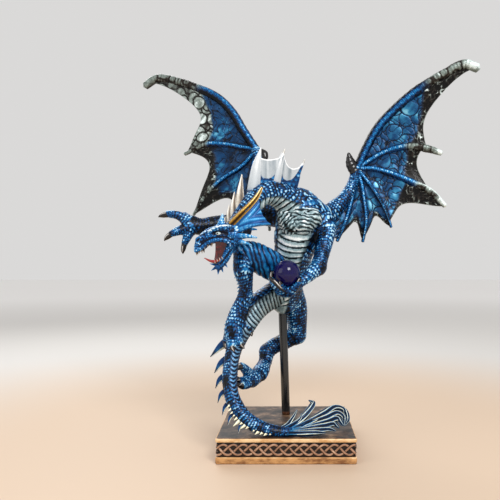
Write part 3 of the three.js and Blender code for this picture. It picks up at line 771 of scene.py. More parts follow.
def bodyLimbs():
    made = [
        limb(torso, [(-0.36, -1, 0), (-0.26, -1, 0), (-0.2, -1, -0.1)], pitch=3.4, relief=0.8, contrast=1.1,
             light=-0.04, belly=(42, 44, 48, 56), platePitch=4.1, sweep=-0.75, plateRelief=0.9,
             bellyLight=1.04, paleTop=167, folds={**chestFolds, "where": chestOnly}),
        limb(neck, [(-0.3, -0.8, -0.5), (-0.2, -0.6, -0.8), (0.4, -0.4, -0.8)], pitch=3.3, relief=0.8,
             contrast=1.1, light=-0.04, belly=(50, 46, 38, 30), platePitch=6.2, sweep=0.5, plateRelief=0.9,
             bellyLight=0.98),
        limb(tail, [(0.35, -0.75, -0.55), (0.4, -0.8, -0.4), (0.45, -0.9, 0), (0.5, -0.7, 0.35),
                    (0.5, 0.1, 0.8), (0.2, 0.8, 0.6)], pitch=2.5, relief=0.5, light=-0.15,
             belly=(62, 60, 44, 36, 24, 16), icyBelly=(0, 0.1, 0.55, 0.8, 1, 1), bellyLight=0.9,
             platePitch=3.4, sweep=1.1, plateRelief=0.7, groove=(0.12, 0.2, 0.42, 0.45, 0.45)),
        # the two muscles of the chest
        limb([[20, -1, 159, 6.5], [12, -4, 153.5, 6.5]], pitch=3, belly=(180, 180), sweep=0, paleTop=167,
             folds={**chestFolds, "where": chestOnly}),
        limb([[-2, 2, 160, 5.5], [3, -3, 153, 6]], pitch=3, belly=(180, 180), sweep=0, paleTop=167,
             folds={**chestFolds, "stretch": (-0.6, 0.2, 0.75), "centre": None, "brush": 0.8,
                    "bend": 0.8}),
    ]
    styles = {
        "farThigh": dict(pitch=2.4, relief=0.4, folds=thighFolds, light=-0.06),
        "farArm": dict(pitch=2.6, relief=0.5, contrast=0.9, light=-0.24),
        "nearArm": dict(pitch=2.7, relief=0.65, contrast=1.1), "nearForearm": dict(pitch=2.5, relief=0.55),
        "farFoot": dict(pitch=2.5, relief=0.5, light=-0.02, lumps=0.7),
        "nearShin": dict(pitch=2.5, relief=0.5, light=-0.14),
        "nearFoot": dict(pitch=2.5, relief=0.5, light=-0.12),
    }
    for name, points in {**legs, **arms}.items():
        made.append(limb(points, (0.2, 0.3, 1) if "Arm" in name else (0.3, -0.4, -1),
                         **styles.get(name, dict(pitch=2.4, relief=0.45, light=-0.03))))
    for points in toes + farFingers + nearFingers:
        made.append(limb(points[:-1], (0.3, 0.1, 1), pitch=2.1, relief=0.3))
    return made


bodyStrokes = [
    # dark line down the breast, and the shoulder's fold
    {"points": [(-9, -7, 163), (-3, -7, 156), (4, -8, 148)], "width": 1.2, "lift": -0.8, "tone": -0.6},
    {"points": [(26, -2, 166), (30, -1, 157), (29, -2, 147)], "width": 1.6, "lift": -1.2, "tone": -0.8},
    # painted shade on the flanks on both sides of the belly plates
    {"points": [(24, -1, 150), (21, -1, 138), (17, 0, 122)], "width": 2.6, "lift": -0.4, "tone": -0.5,
     "pale": 0},
    {"points": [(-9.5, 3, 158), (-9.5, 4, 144), (-8.5, 6, 128)], "width": 2.0, "lift": -0.4, "tone": -0.7,
     "pale": 0},
    # the groin's fold
    {"points": [(-12, 2, 128), (-7, 2, 118), (-4, 5, 108)], "width": 1.5, "lift": -0.8, "tone": -0.6},
]
bodyLook = {"voxel": 0.745, "blend": 1.3, "washAndShade": 1.0, "ballGap": 0.25}


def addBody():
    part = sculpt(bodyLimbs(), bodyLook, bodyStrokes)
    # the skin keeps clear of the ball
    away = part["points"] - ballSpot
    nearest = ballReach + bodyLook["ballGap"]
    inside = np.linalg.norm(away, axis=1) < nearest
    part["points"] = np.where(inside[:, None], ballSpot + unit(away) * nearest, part["points"])
    addPiece("dragonBody", onPlinth(part), skinPaint)


addBody()
print("body cast")


# claws, horns and spikes
plainCut = 0.12  # grooves no deeper than this share of the radius keep their colour


def hornShape(rings=0.0, grooves=0, ringPitch=2.2, toneLow=0.2, toneHigh=0.9, cutDepth=plainCut,
              phase=0.0, paleSide=0.0):
    def shape(run, turn, radius, along):
        wave = 0.5 + 0.5 * np.cos(2 * math.pi * run / ringPitch)
        cut = 0.5 + 0.5 * np.cos(grooves * turn + phase) if grooves else 1.0
        relief = radius * (0.12 * rings * (wave - 0.5) + (cutDepth * (cut - 0.5) if grooves else 0))
        tone = toneLow + (toneHigh - toneLow) * along * (0.6 + 0.4 * cut) + 0.3 * rings * (wave - 0.5)
        if cutDepth > plainCut:
            tone = tone - 1.9 * cutDepth * (1 - cut)
        tone = tone + paleSide * rise(0.25, 0.75, -np.sin(turn))
        return relief + 0 * turn, np.clip(tone + 0 * turn, 0, 1)
    return shape


def curvedSpike(start, tip, radius, bend=(0, 0, 0), sides=10, flat=1.0, facing=(0, -1, 0), **looks):
    a, b = np.array(start, float), np.array(tip, float)
    middle = (a + b) / 2 + np.array(bend)
    rows = [list(a) + [radius], list(middle) + [radius * 0.62], list(b) + [radius * 0.08]]
    return tube(rows, sides=sides, spacing=0.8, facing=facing, flat=flat, shape=hornShape(**looks))


def clawShape(run, turn, radius, along):
    # black horn with a painted highlight line on its front, the side towards the camera, and a pale root
    line = rise(0.8, 0.98, np.cos(turn)) * rise(0.1, 0.3, along) * rise(1.0, 0.75, along)
    root = rise(0.16, 0.04, along) * rise(-0.4, 0.8, np.cos(turn))
    return 0.12 * line, np.clip(0.2 + 0.7 * line + 0.4 * root, 0, 1)


# a claw starts inside its finger, arches, and ends in a point; shares of the finger's radius, and mm
clawLook = {"inside": 0.8, "root": 1.06, "arch": 0.9, "middle": 0.78, "point": 0.15}
thumbClaw = [[-12.4, -25.6, 113, 1.3], [-8, -27.6, 109, 1.7], [-4.6, -27.8, 105.4, 1.3],
             [-1.6, -26.6, 102.8, 0.4]]


def addClaws():
    parts = []
    for points in toes + farFingers + nearFingers:
        (*start, radius), (*tip, _) = points[-2:]
        start, tip = np.array(start), np.array(tip)
        lead = unit(start - np.array(points[-3][:3]))
        rows = [list(start - lead * clawLook["inside"]) + [radius * clawLook["root"]],
                list((start + tip) / 2 + lead * clawLook["arch"]) + [radius * clawLook["middle"]],
                list(tip) + [clawLook["point"]]]
        parts.append(tube(rows, sides=14, spacing=0.5, facing=(-0.2, -1, 0.6), shape=clawShape))
    addPiece("dragonClaws", onPlinth(gather(parts)), clawPaint)
    thumb = tube(thumbClaw, sides=16, spacing=0.5, facing=(0.2, -1, 0.6), shape=clawShape)
    addPiece("thumbClaw", thumb, clawPaint)


addClaws()


# wings: arm, thumb claw, finger rails from the wrist outwards, and the rail the last web closes on
nearWing = {
    "arm": [[27, 21, 160, 9.5], [38, 29, 168, 7.4], [48.7, 34, 179, 5.5], [55, 37, 191, 4.4],
            [59, 37, 204, 3.9]],
    "thumb": [[57.6, 36, 202, 5.4], [53.8, 35.4, 208.6, 4.7], [51.6, 34, 217, 1.3]],
    "rails": [
        [[59, 37, 204], [67, 37, 222], [77, 36, 239.5], [93.5, 33, 256.5], [109.5, 29, 269], [128, 23, 279.5],
         [145, 18, 286.5], [155, 15.5, 282.5]],
        [[59, 37, 204], [76, 36, 215], [90, 34, 220.5], [102, 31, 222], [117, 28, 219.5], [128, 26, 215.5]],
        [[60, 37, 204], [72, 36, 204], [90, 33, 198.5], [106, 30, 191], [119, 27, 183.5], [130.5, 24, 171.5]],
        [[60, 37, 202.5], [66.6, 36, 194.5], [75.5, 33, 181], [82.5, 30, 167], [86.5, 27, 154]],
        [[59, 37, 201.5], [62.4, 36, 192], [64.7, 34, 176.5], [66, 31, 159.5], [63, 29, 142]],
        [[58, 37, 200.5], [57, 36, 190], [53.5, 34, 175], [48.5, 31, 158.5], [41.5, 28, 142.5]],
        [[58, 37, 203], [53, 36, 187], [44, 32, 173], [33, 25, 161], [32, 20, 143]],
    ],
    "webs": [dict(ends=(1, 0.8), scallop=0.21, skew=0.9), dict(ends=(0.76, 0.8), scallop=0.11),
             dict(ends=(1, 0.9), scallop=0.17, skew=1.3, bow=1.2),
             dict(ends=(0.98, 0.94), scallop=0.22, bow=1.5),
             dict(ends=(0.98, 0.92), scallop=0.2, rimWidth=7, bow=1.5),
             dict(ends=(0.98, 1.0), scallop=0.03, rimWidth=1)],
    # the fingers' end radii, the share of their length where horn begins (over 1 for none), the one
    # whose upper side is white, and the tone of their blunt tips
    "fingerEnds": [4.1, 3.6, 3.4, 1.3, 1.6, 1.8], "silverFrom": [0.66, 0.6, 0.62, 1.4, 1.4, 1.4],
    "whiteFinger": 2, "capTone": 0.62,
    # the dark margin starts at these x, by height
    "rimHeights": (175, 190, 205, 220, 235, 270), "rimStarts": (92, 99, 99.5, 101, 110, 114),
}
farWing = {
    "arm": [[-1, 21, 170, 9.5], [-9.5, 32, 180, 7.4], [-16.5, 40, 192, 5.5], [-23, 47, 207, 4.5],
            [-27.5, 50, 223, 4]],
    "thumb": [[-26, 49, 221.5, 3.2], [-20, 47, 218.5, 3.4], [-20.5, 44, 207, 0.5]],
    "rails": [
        [[-27.5, 50, 223], [-39, 54, 241], [-48.5, 58, 257], [-61.5, 63, 271], [-80, 68, 281.5],
         [-100, 73, 289.5], [-119.5, 77, 293.3], [-130.5, 78, 287]],
        [[-27.5, 50, 223], [-40, 52, 225], [-53, 55, 228], [-72, 59, 229], [-91.5, 62, 221.5]],
        [[-28, 50, 221], [-40.5, 51, 208], [-56.5, 53, 198], [-70.5, 53, 185], [-82, 52, 166.5]],
        [[-27.5, 50, 220], [-31, 49, 203], [-34, 47, 182], [-34, 44, 156]],
        [[-26.5, 50, 220], [-22, 46, 200], [-18, 41, 180], [-15, 37, 152]],
        [[-27, 50, 221], [-19, 43, 195], [-10, 32, 178], [1, 25, 165], [4, 24, 146]],
    ],
    "webs": [dict(ends=(0.95, 0.97), scallop=0.3, paleCells=0.9, light=-0.13, cell=5.2, vein=0.04, bow=0.9),
             dict(ends=(0.95, 0.97), scallop=0.25, light=-0.14, vein=0.04, bow=0.95),
             dict(ends=(0.99, 0.95), scallop=0.23, rimWidth=9, light=-0.14, vein=0.04, bow=1.1),
             dict(ends=(0.95, 0.95), scallop=0.26, light=-0.1),
             dict(ends=(0.95, 0.95), scallop=0.2, light=-0.1)],
    "fingerEnds": [3.9, 2.6, 2.2, 2, 2], "silverFrom": [0.58, 0.66, 0.6, 0.8, 0.8], "whiteFinger": None,
    "capTone": 0.42,
    "rimHeights": (160, 180, 200, 215, 233, 242, 255, 276),
    "rimStarts": (-58, -58, -62, -64, -69, -65, -67, -76),
}
webLook = {"thickness": 1.5, "flare": 1.5, "cell": 6.4, "bulge": 0.7, "rimWidth": 5.0, "step": 0.8,
           "paleCells": 0.1, "vein": 0.15, "billow": 2.0, "light": 0.0, "bow": 0.8}
# a bone's outer is the painted shade on its upper, outer side
leadingBone = {"thick": 3.5, "tip": 0.9, "sides": 28, "pitch": 2.8, "columns": 7, "base": 0.04,
               "outer": 0.3, "blunt": (0.9, 0.96)}
fingerBone = {"thick": 2.2, "tip": 0.6, "sides": 20, "pitch": 2.1, "columns": 5, "base": 0.1,
              "outer": 0.1, "blunt": (0.86, 0.97)}
armLook = {"voxel": 0.72, "blend": 1.2, "washAndShade": 1.0}
hornFade = 0.05  # share of a bone's length over which its skin turns to horn


def evenRail(rail):
    # a rail as a fine line, with the share of its length in steps of its points
    line = smoothPath(rail, 0.5)
    index = [np.linalg.norm(line - knot, axis=1).argmin() for knot in np.array(rail, float)]
    return line, np.interp(np.arange(len(line)), index, np.linspace(0, 1, len(index)))


def webTone(flat, along, toEdge, toRail, seed, look):
    # pearly overlapping cells with dark rims, their domes lighter as painted highlight, and a dark crackled
    # margin with a painted highlight along the free edge; painted shade darkens the web next to the rails
    warp = 3.6 * (softNoise(flat, 12, seed) - 0.5)
    u, v = flat[:, 0] + warp, flat[:, 2] - warp
    edge, number, dome = discPattern(u, v, look["cell"], seed)
    cut = rise(0.0, look["vein"], edge)
    tilted = flat @ np.array([[0.8, 0, 0.6], [0, 1, 0], [-0.6, 0, 0.8]])
    pearl = 0.7 * softNoise(tilted, 9, seed + 3) + 0.3 * softNoise(flat, 3.5, seed + 15)
    streak = softNoise(tilted * [1, 1, 0.4], 2.2, seed + 4)
    # thin dark loops inside the cells
    loops = 1 - np.abs(2 * softNoise(tilted, 4.2, seed + 7) - 1)
    cut = cut * (1 - 0.7 * rise(0.9, 0.98, loops))
    # the pearly patches fade towards the wrist and, as painted shade, next to the rails; the cells' domes are
    # lighter, as painted highlight
    pearlShare = rise(0.1, 0.5, along) * rise(0, 5, toRail)
    tone = cut * (0.02 + pearlShare * (0.18 + 0.4 * rise(0.4, 0.72, pearl)) + 0.14 * number + 0.26 * streak
                  + 0.12 * dome + look["light"])
    ragged = 5.0 * (softNoise(flat, 7, seed + 9) - 0.5)
    rim = rise(look["rimWidth"], look["rimWidth"] * 0.45, toEdge + ragged)
    outer = flat[:, 0] - np.interp(flat[:, 2], look["rimHeights"], look["rimStarts"])
    rim = np.maximum(rim, rise(-2, 2, outer * np.sign(look["rimStarts"][0]) + 0.6 * ragged))
    crackle = 1 - np.abs(2 * softNoise(flat, 2.2, seed + 12) - 1)
    silver = 0.06 + 1.15 * rise(0.78, 0.95, crackle) * softNoise(flat, 4, seed + 13)
    cells = rise(0.03, 0.26, edge) * (0.46 + 0.26 * number + 0.3 * streak)
    silver = silver + (cells - silver) * look["paleCells"]
    # painted highlight along the free edge
    silver = np.maximum(silver, 0.62 * rise(1.3, 0.3, toEdge))
    # painted shade next to the rails
    tone = tone * (1 - rim) + silver * rim - 0.2 * np.exp(-toRail / 1.8)
    relief = cut * dome * look["bulge"] * (1 - rim) + rim * 0.5 * silver
    return np.clip(tone, 0, 1), rim, relief


def web(railA, railB, ends, scallop, seed, skew=1.0, paint=webTone, **changes):
    # a curved sheet between two rails, its free edge scalloped between the shares in ends
    look = {**webLook, **changes}
    lineA, alongA = evenRail(railA)
    lineB, alongB = evenRail(railB)
    step = look["step"] * coarse
    length = max(np.linalg.norm(np.diff(lineA, axis=0), axis=1).sum(),
                 np.linalg.norm(np.diff(lineB, axis=0), axis=1).sum())
    width = np.linalg.norm(lineA[-1] - lineB[-1])
    rows, columns = int(length / step) + 2, max(6, int(width / step) + 2)
    across = np.linspace(0, 1, columns)[None]
    bow = np.clip(np.sin(math.pi * across ** skew), 0, 1) ** look["bow"]
    reach = ends[0] + (ends[1] - ends[0]) * across - scallop * bow
    down = np.linspace(0, 1, rows)[:, None]
    along = reach * down
    a = np.stack([np.interp(along, alongA, lineA[:, k]) for k in range(3)], axis=-1)
    b = np.stack([np.interp(along, alongB, lineB[:, k]) for k in range(3)], axis=-1)
    middle = a + (b - a) * across[..., None]
    middle[..., 1] += look["billow"] * np.sin(math.pi * across) * down
    normal = unit(np.cross(np.gradient(middle, axis=0), np.gradient(middle, axis=1) + 1e-9))
    flat = middle.reshape(-1, 3)
    toEdge = ((reach - along) * length).ravel()
    toRail = (np.minimum(across, 1 - across) * np.linalg.norm(b - a, axis=-1)).ravel()
    tone, rim, relief = paint(flat, along.ravel(), toEdge, toRail, seed, look)
    thick = look["thickness"] / 2 * (0.55 + 0.45 * rise(0, 10, toEdge))
    thick = thick + look["flare"] * np.exp(-toRail / 1.4)
    offset = normal.reshape(-1, 3) * (thick + relief)[:, None]
    front, back = flat + offset, flat - offset
    count = rows * columns
    faces = gridFaces(rows, columns, flip=True) + gridFaces(rows, columns, offset=count)
    rimLoop = (list(range(columns - 1)) + [r * columns + columns - 1 for r in range(rows - 1)]
               + [(rows - 1) * columns + c for c in range(columns - 1, 0, -1)]
               + [r * columns for r in range(rows - 1, 0, -1)])
    for k, corner in enumerate(rimLoop):
        following = rimLoop[(k + 1) % len(rimLoop)]
        faces.append([corner, following, following + count, corner + count])
    return {"points": np.vstack([front, back]), "faces": faces, "tone": np.tile(tone, 2),
            "rim": np.tile(rim, 2)}


def boneShape(silver, look, white, capTone):
    # a scaled bone with a light ridge line, a painted highlight on the side towards the camera, and painted
    # shade on its upper, outer side, that turns to veined sage horn past its silver place; horn and blunt tip
    # are lighter towards the camera, as painted light
    def shape(run, turn, radius, along):
        height, shade = scaleRelief(run / look["pitch"] + 0 * turn,
                                    turn / (2 * math.pi) * look["columns"] + 0 * run)
        spots = np.stack(np.broadcast_arrays(run, 2.2 * np.cos(turn), 2.2 * np.sin(turn)), axis=-1)
        rough = softNoise(spots.reshape(-1, 3), 1.8, 4).reshape(spots.shape[:2])
        broad = softNoise(spots.reshape(-1, 3), 4.5, 6).reshape(spots.shape[:2])
        rings = (0.5 + 0.5 * np.cos(2 * math.pi * (run / 2.9 + 1.1 * broad))) * (0.2 + 0.8 * rough)
        veins = rise(0.8, 0.96, 1 - np.abs(2 * broad - 1))
        facing = np.cos(turn) + 0 * run
        # painted highlight: a dashed light line along the side that faces the camera
        line = rise(0.82, 0.97, facing) * (0.55 + 0.45 * np.cos(2 * math.pi * run / 3.1) ** 2)
        horn = rise(silver - hornFade, silver + hornFade, along + 0 * turn)
        blunt = rise(*look["blunt"], along + 0 * turn)
        # painted shade on the upper, outer side
        outer = rise(0.2, -0.5, np.sin(turn)) * look["outer"]
        tone = (look["base"] + 0.26 * shade + 0.2 * rough + 0.5 * line - outer) * (1 - horn)
        # painted light: cap and horn lighter on the side that faces the camera
        cap = capTone + 0.3 * rise(-0.2, 0.9, facing) + 0.2 * (rough - 0.5)
        ringed = 0.38 + 0.3 * rise(-0.2, 0.9, facing) + 0.34 * (rough - 0.4) - 0.2 * rings - 0.34 * veins
        ringed = np.clip(ringed + 0.25 * (capTone - 0.4), 0, 1) * (1 - blunt) + blunt * cap
        upper = rise(0.1, -0.5, np.sin(turn))
        tone = tone + horn * (ringed * (1 - upper) + upper if white else ringed)
        relief = 0.4 * height * (1 - horn) - horn * 0.3 * (rings + veins) * (1 - blunt)
        return relief + 0.35 * rise(0.6, 1, facing), np.clip(tone, 0, 1)
    return shape


def addWing(name, wing, seed):
    parts = []
    rails = wing["rails"]
    for k, shape in enumerate(wing["webs"]):
        parts.append(web(rails[k], rails[k + 1], seed=seed + 7 * k, rimHeights=wing["rimHeights"],
                         rimStarts=wing["rimStarts"], **shape))
    for k, blunt in enumerate(wing["fingerEnds"]):
        rail, silver = rails[k], wing["silverFrom"][k]
        look = leadingBone if k == 0 else fingerBone
        thick, last = look["thick"], len(rail) - 1
        rows = [list(point) + [thick + (blunt - thick) * i / last] for i, point in enumerate(rail)]
        rows[-1][3] *= look["tip"]
        bone = tube(rows, sides=look["sides"], spacing=0.5, facing=(0.1, -1, 0.25), dome=0.6,
                    shape=boneShape(silver, look, k == wing["whiteFinger"], wing["capTone"]))
        bone["rim"] = rise(silver - hornFade, silver + hornFade, bone["along"])
        bone["skin"] = 1 - bone["rim"]
        parts.append(bone)
    addPiece(name, gather(parts), webPaint)
    arm = sculpt([limb(wing["arm"], (0.3, -1, 0.3), pitch=2.7, relief=0.6)], armLook)
    addPiece(name + "Arm", arm, skinPaint)
    claw = tube(wing["thumb"], sides=20, spacing=0.5, facing=(0.2, -1, 0.3), flat=0.7,
                shape=hornShape(rings=0.5, ringPitch=3.4, toneLow=0.3, toneHigh=0.42))
    addPiece(name + "Thumb", claw, clawPaint)


addWing("nearWing", nearWing, 3)
addWing("farWing", farWing, 60)
print("wings spread")


# head
headPlan = {
    "skull": [[-33, -21, 149, 6.8], [-40, -25.5, 148, 6.8], [-46, -27.6, 146, 5.9]],
    "muzzle": [[-46, -28, 145.4, 5.8], [-53.4, -29.4, 144.8, 4.8], [-58.8, -30.4, 142.4, 4.3],
               [-63.2, -31.2, 138, 3.9], [-64.8, -31.4, 135, 3.0]],
    "jaw": [[-39, -25.5, 139.5, 4.6], [-43, -27, 132.8, 3.3], [-45.6, -28, 126.8, 2.9],
            [-50, -28.6, 121.2, 2.8]],
    "browNear": [[-58, -32.8, 145.6, 1.2], [-52, -34.2, 148.8, 1.8], [-46, -33.6, 150, 2.0],
                 [-39, -31, 150.4, 1.5]],
    "browFar": [[-57, -26, 146.6, 1.2], [-50, -23.5, 150, 1.7], [-43, -21.5, 151.4, 1.8],
                [-37, -20, 151, 1.4]],
    "nose": [[-64.6, -33.6, 141, 1.8], [-61.8, -33.4, 143, 1.5]],
    "noseFar": [[-64.4, -28.6, 141.4, 1.8], [-61.4, -28.4, 143.4, 1.4]],
    "snoutRidge": [[-61.4, -31, 145.4, 1.0], [-57, -30, 148.4, 1.2], [-51, -29, 150, 1.3]],
    "lip": [[-66.2, -33.2, 132.8, 1.1], [-62.2, -34.4, 134.4, 1.3], [-58, -34.8, 138.2, 1.2],
            [-52, -34, 140.6, 1.3], [-45, -32.6, 140.4, 1.5], [-40, -31, 138.4, 1.6]],
    "lipFar": [[-65.8, -29, 133, 1.1], [-62, -26.6, 134.6, 1.2], [-57, -25.6, 138.8, 1.2],
               [-50, -24, 141, 1.5]],
    "cheek": [[-43, -31.5, 144.4, 2.2], [-37, -30.4, 143, 3.2], [-39.6, -29.8, 137.4, 2.4]],
}
headLook = {"voxel": 0.44, "blend": 0.7, "washAndShade": 1.6, "icy": 0.75}
eyePlace = {"centre": (-49.8, -33.6, 145.5), "radius": 1.5, "shape": (1.25, 0.9, 0.8), "rows": 24,
            "columns": 32, "looking": (-0.3, -1, 0.0), "pupil": (8, 8, 12), "white": (196, 212, 212)}
headStrokes = [
    {"points": [(-53, -35, 145.4), (-49.8, -35.4, 145.8), (-46.6, -34.8, 145.8), (-43.6, -34, 145.2)],
     "width": 1.1, "lift": -1.3, "tone": -0.8, "calm": 1},
    {"points": [(-65.2, -35.4, 140), (-64, -35.4, 141.2)], "width": 0.75, "lift": -1.1, "tone": -1},
    {"points": [(-62.4, -35.6, 139), (-57, -36, 142.4), (-50, -35.4, 143.4), (-43, -34, 142.4)],
     "width": 0.75, "lift": -0.8, "tone": -0.8},
    {"points": [(-63, -34.4, 144), (-58, -35, 146.8)], "width": 0.8, "lift": -0.6, "tone": -0.6},
    {"points": [(-57, -35, 147.2), (-52, -36, 150), (-46, -35.4, 151.2), (-41, -33, 151)], "width": 0.8,
     "lift": 0.3, "tone": 0.5, "pale": 0.7},
    {"points": [(-63.8, -33, 143.8), (-59, -32.6, 147)], "width": 0.8, "lift": 0.3, "tone": 0.5, "pale": 0.5},
    {"points": [(-41, -29, 134), (-44.4, -31, 128.4), (-48.6, -31.4, 123.4)], "width": 0.8, "lift": -0.7,
     "tone": -0.7},
    {"points": [(-42, -33.6, 147.6), (-36, -33, 148.4)], "width": 0.7, "lift": 0.5, "tone": 0.5},
    {"points": [(-42, -34, 140.8), (-38, -33, 136)], "width": 0.8, "lift": -0.7, "tone": -0.7},
]
noseSpike = [[-48.5, -28, 147, 4.4], [-48.2, -28, 153, 2.6], [-47.4, -28, 160, 0.6]]
cheekSpines = [
    [[-38, -30, 147, 1.9], [-26.7, -33, 151, 1.4], [-16.5, -32, 153, 0.25]],
    [[-38, -30, 144, 1.9], [-28.8, -34, 143.6, 1.5], [-19.6, -33, 142.2, 0.25]],
    [[-38, -29, 141, 1.9], [-31.9, -32, 139.3, 1.3], [-25.3, -32, 137, 0.25]],
    [[-38, -21, 147, 1.9], [-29, -13, 150, 1.4], [-22, -6, 150, 0.25]],
]
# each fang has its root and length, and each tuft of the beard its root and tip
mouth = {
    "reds": ((36, 2, 5), (150, 12, 18), (190, 50, 50)), "lowTeeth": 4,
    "tongue": [[-44.6, -27.6, 127.4, 2.0], [-49, -28.4, 125.6, 1.9], [-55, -29.6, 125.2, 1.5],
               [-60.4, -31, 127.6, 0.4]],
    "throat": ([[-44, -27.5, 141], [-48, -28, 141], [-52.8, -28.6, 140]],
               [[-43.5, -27, 126], [-48, -28, 125.6], [-53.4, -28.6, 126.6]]),
    "fangs": [((-65.8, -33.4, 132.2), 3.0), ((-63.8, -34.2, 132.8), 1.9), ((-61.8, -34.6, 134), 3.2),
              ((-59.8, -34.8, 136), 1.8), ((-57.6, -34.8, 137.6), 2.2), ((-54.4, -34.4, 139), 3.0),
              ((-65.6, -30, 132.4), 2.4), ((-61.4, -27.2, 134), 2.6), ((-56.4, -25.8, 138.2), 2.2)],
    "beard": [((-51.6, -28.7, 122.6), (-56.6, -29.4, 123.4)), ((-52, -28.7, 120.8), (-55.6, -29, 118.4)),
              ((-50.2, -28.7, 119.6), (-50.6, -29, 115.4)), ((-48.4, -28.5, 121.2), (-46.8, -28.8, 117)),
              ((-46.4, -28.4, 124.4), (-43.6, -28.6, 120.6))],
}
nearHorn = [[-41, -30.6, 152.5, 2.6], [-34, -31.4, 159.5, 2.4], [-27.7, -29.4, 166, 2.1],
            [-22, -26.4, 173.3, 1.8], [-18.3, -24.4, 180.4, 0.8]]
farHorn = [[-41, -20, 152, 2.6], [-39, -14, 162, 2.6], [-37, -11, 172, 2.2], [-35.6, -9, 182, 1.6],
           [-34.7, -8, 191, 0.4]]
# base, tip and radius of each blade of the crest behind the horn
crestBlades = [([-35.5, -18, 158], [-34.4, -12, 192], 5.0), ([-39.5, -20, 154], [-39.6, -17, 178], 3.8),
               ([-42, -22.5, 151], [-43.4, -20, 168], 2.9), ([-31.5, -18, 160], [-29.6, -15, 178], 2.6),
               ([-44, -24.5, 149], [-46, -23, 159], 2.0)]
frill = {"upper": [[-39, -30, 151], [-32, -31, 160], [-25, -28, 168], [-20, -25, 176]],
         "lower": [[-38, -30, 146], [-29, -32, 149.5], [-20, -31, 151.5], [-10.5, -27.5, 152.5]]}


def redFlesh():
    fleshy, tree, shader = newMaterial("mouthRed")
    spots = noiseOf(tree, 900.0, 3.0, Vector=placeOf(tree))
    deep, red, spotted = (srgb(*shade) for shade in mouth["reds"])
    colour = shadeRamp(tree, painted(tree, "tone"), [(0.1, 0.9)], [deep, red])
    colour = blendColour(tree, stepMask(tree, spots, 0.55, 0.85), colour, spotted)
    fill(tree, shader, [("Base Color", colour), ("Roughness", 0.3), ("Coat Weight", 0.4)])
    return fleshy


def frillTone(flat, along, toEdge, toRail, seed, look):
    # bright blue folds that fan out from the cheek, darker towards the throat as painted shade
    folds = 0.5 + 0.5 * np.cos(toRail * 1.25)
    tone = 0.34 + 0.36 * folds + 0.1 * softNoise(flat, 3, seed) - 0.16 * rise(0.55, 0.95, along)
    return np.clip(tone, 0, 1), 0 * tone, 0.6 * folds


def mouthTone(flat, along, toEdge, toRail, seed, look):
    return 0.12 + 0.35 * softNoise(flat, 2.0, seed), 0 * along, 0 * along


def addMouth():
    tongue = tube(mouth["tongue"], sides=14, spacing=0.5, facing=(0, 0.2, 1), flat=0.7,
                  shape=lambda run, turn, radius, along: (0 * run * turn, 0.55 + 0.4 * along + 0 * turn))
    throat = web(*mouth["throat"], (1.0, 1.0), 0.05, 5, step=0.5, thickness=3.0, flare=0.2, billow=1.0,
                 paint=mouthTone)
    addPiece("dragonMouth", gather([tongue, throat]), redFlesh())
    teeth = []
    for (x, y, z), length in mouth["fangs"]:
        teeth.append(curvedSpike((x, y, z), (x + 0.4, y, z - length), 0.8, sides=8, toneLow=0.15,
                                 toneHigh=0.75))
    for k in range(mouth["lowTeeth"]):
        x, z = -47 - 1.8 * k, 126.4 - 0.9 * k
        teeth.append(curvedSpike((x, -30.4, z), (x - 0.6, -30.6, z + 2.2), 0.6, sides=8, toneLow=0.4,
                                 toneHigh=0.9))
    addPiece("dragonTeeth", gather(teeth), creamPaint)
    spikes = [curvedSpike(start, tip, 1.3, sides=10, toneLow=0.2, toneHigh=0.8)
              for start, tip in mouth["beard"]]
    addPiece("dragonBeard", gather(spikes), skinPaint)


def addHorns():
    twin = hornShape(rings=0.2, grooves=4, ringPitch=2.6, toneLow=0.62, toneHigh=1.0, cutDepth=0.34,
                     phase=math.pi)
    addPiece("goldHorn", tube(nearHorn, sides=40, spacing=0.5, facing=(0.3, -1, -0.3), shape=twin), goldPaint)
    crest = [tube(farHorn, sides=20, spacing=0.5, shape=hornShape(grooves=4, toneLow=0.5, toneHigh=1.0))]
    for base, tip, radius in crestBlades:
        crest.append(curvedSpike(base, tip, radius, bend=(-1.0, 0, 0), sides=32, flat=0.45,
                                 facing=(0, -1, 0.2), grooves=3, toneLow=0.62, toneHigh=1.08,
                                 cutDepth=0.28, phase=1.2))
    addPiece("creamCrest", gather(crest), creamPaint)


def addHead():
    limbs = [limb(points, (0, -0.3, -1), pitch=1.9, relief=0.16, contrast=0.62, light=0.12,
                  icy=headLook["icy"]) for points in headPlan.values()]
    limbs.append(limb(noseSpike, pitch=2, relief=0.1, contrast=0.4, light=0.4, icy=1))
    limbs += [limb(points, pitch=2.4, relief=0.1, contrast=0.3, light=0.42, icy=1) for points in cheekSpines]
    part = sculpt(limbs, headLook, headStrokes)
    addPiece("dragonHead", part, skinPaint)
    addMouth()
    addHorns()
    collar = web(frill["upper"], frill["lower"], (0.95, 0.95), 0.12, 9, step=0.45, billow=0.6, thickness=1.2,
                 flare=0.6, paint=frillTone)
    collar["icy"] = np.full(len(collar["points"]), headLook["icy"])
    addPiece("frill", collar, skinPaint)
    addEye()


def addEye():
    white, tree, shader = newMaterial("eyeWhite")
    colour = shadeRamp(tree, painted(tree, "tone"), [(0.4, 0.5)],
                       [srgb(*eyePlace["pupil"]), srgb(*eyePlace["white"])])
    fill(tree, shader, [("Base Color", colour), ("Roughness", 0.12)])
    rows, columns = eyePlace["rows"], eyePlace["columns"]
    ball = roundGrid(rows, columns)[..., [0, 2, 1]]
    tone = rise(0.93, 0.9, (ball * unit(np.array(eyePlace["looking"]))).sum(-1)).ravel()
    shaped = ball * (eyePlace["radius"] * np.array(eyePlace["shape"])) + np.array(eyePlace["centre"])
    part = {"points": shaped.reshape(-1, 3), "faces": gridFaces(rows, columns, wrap=True), "tone": tone}
    addPiece("dragonEye", part, white)


addHead()
print("head set")

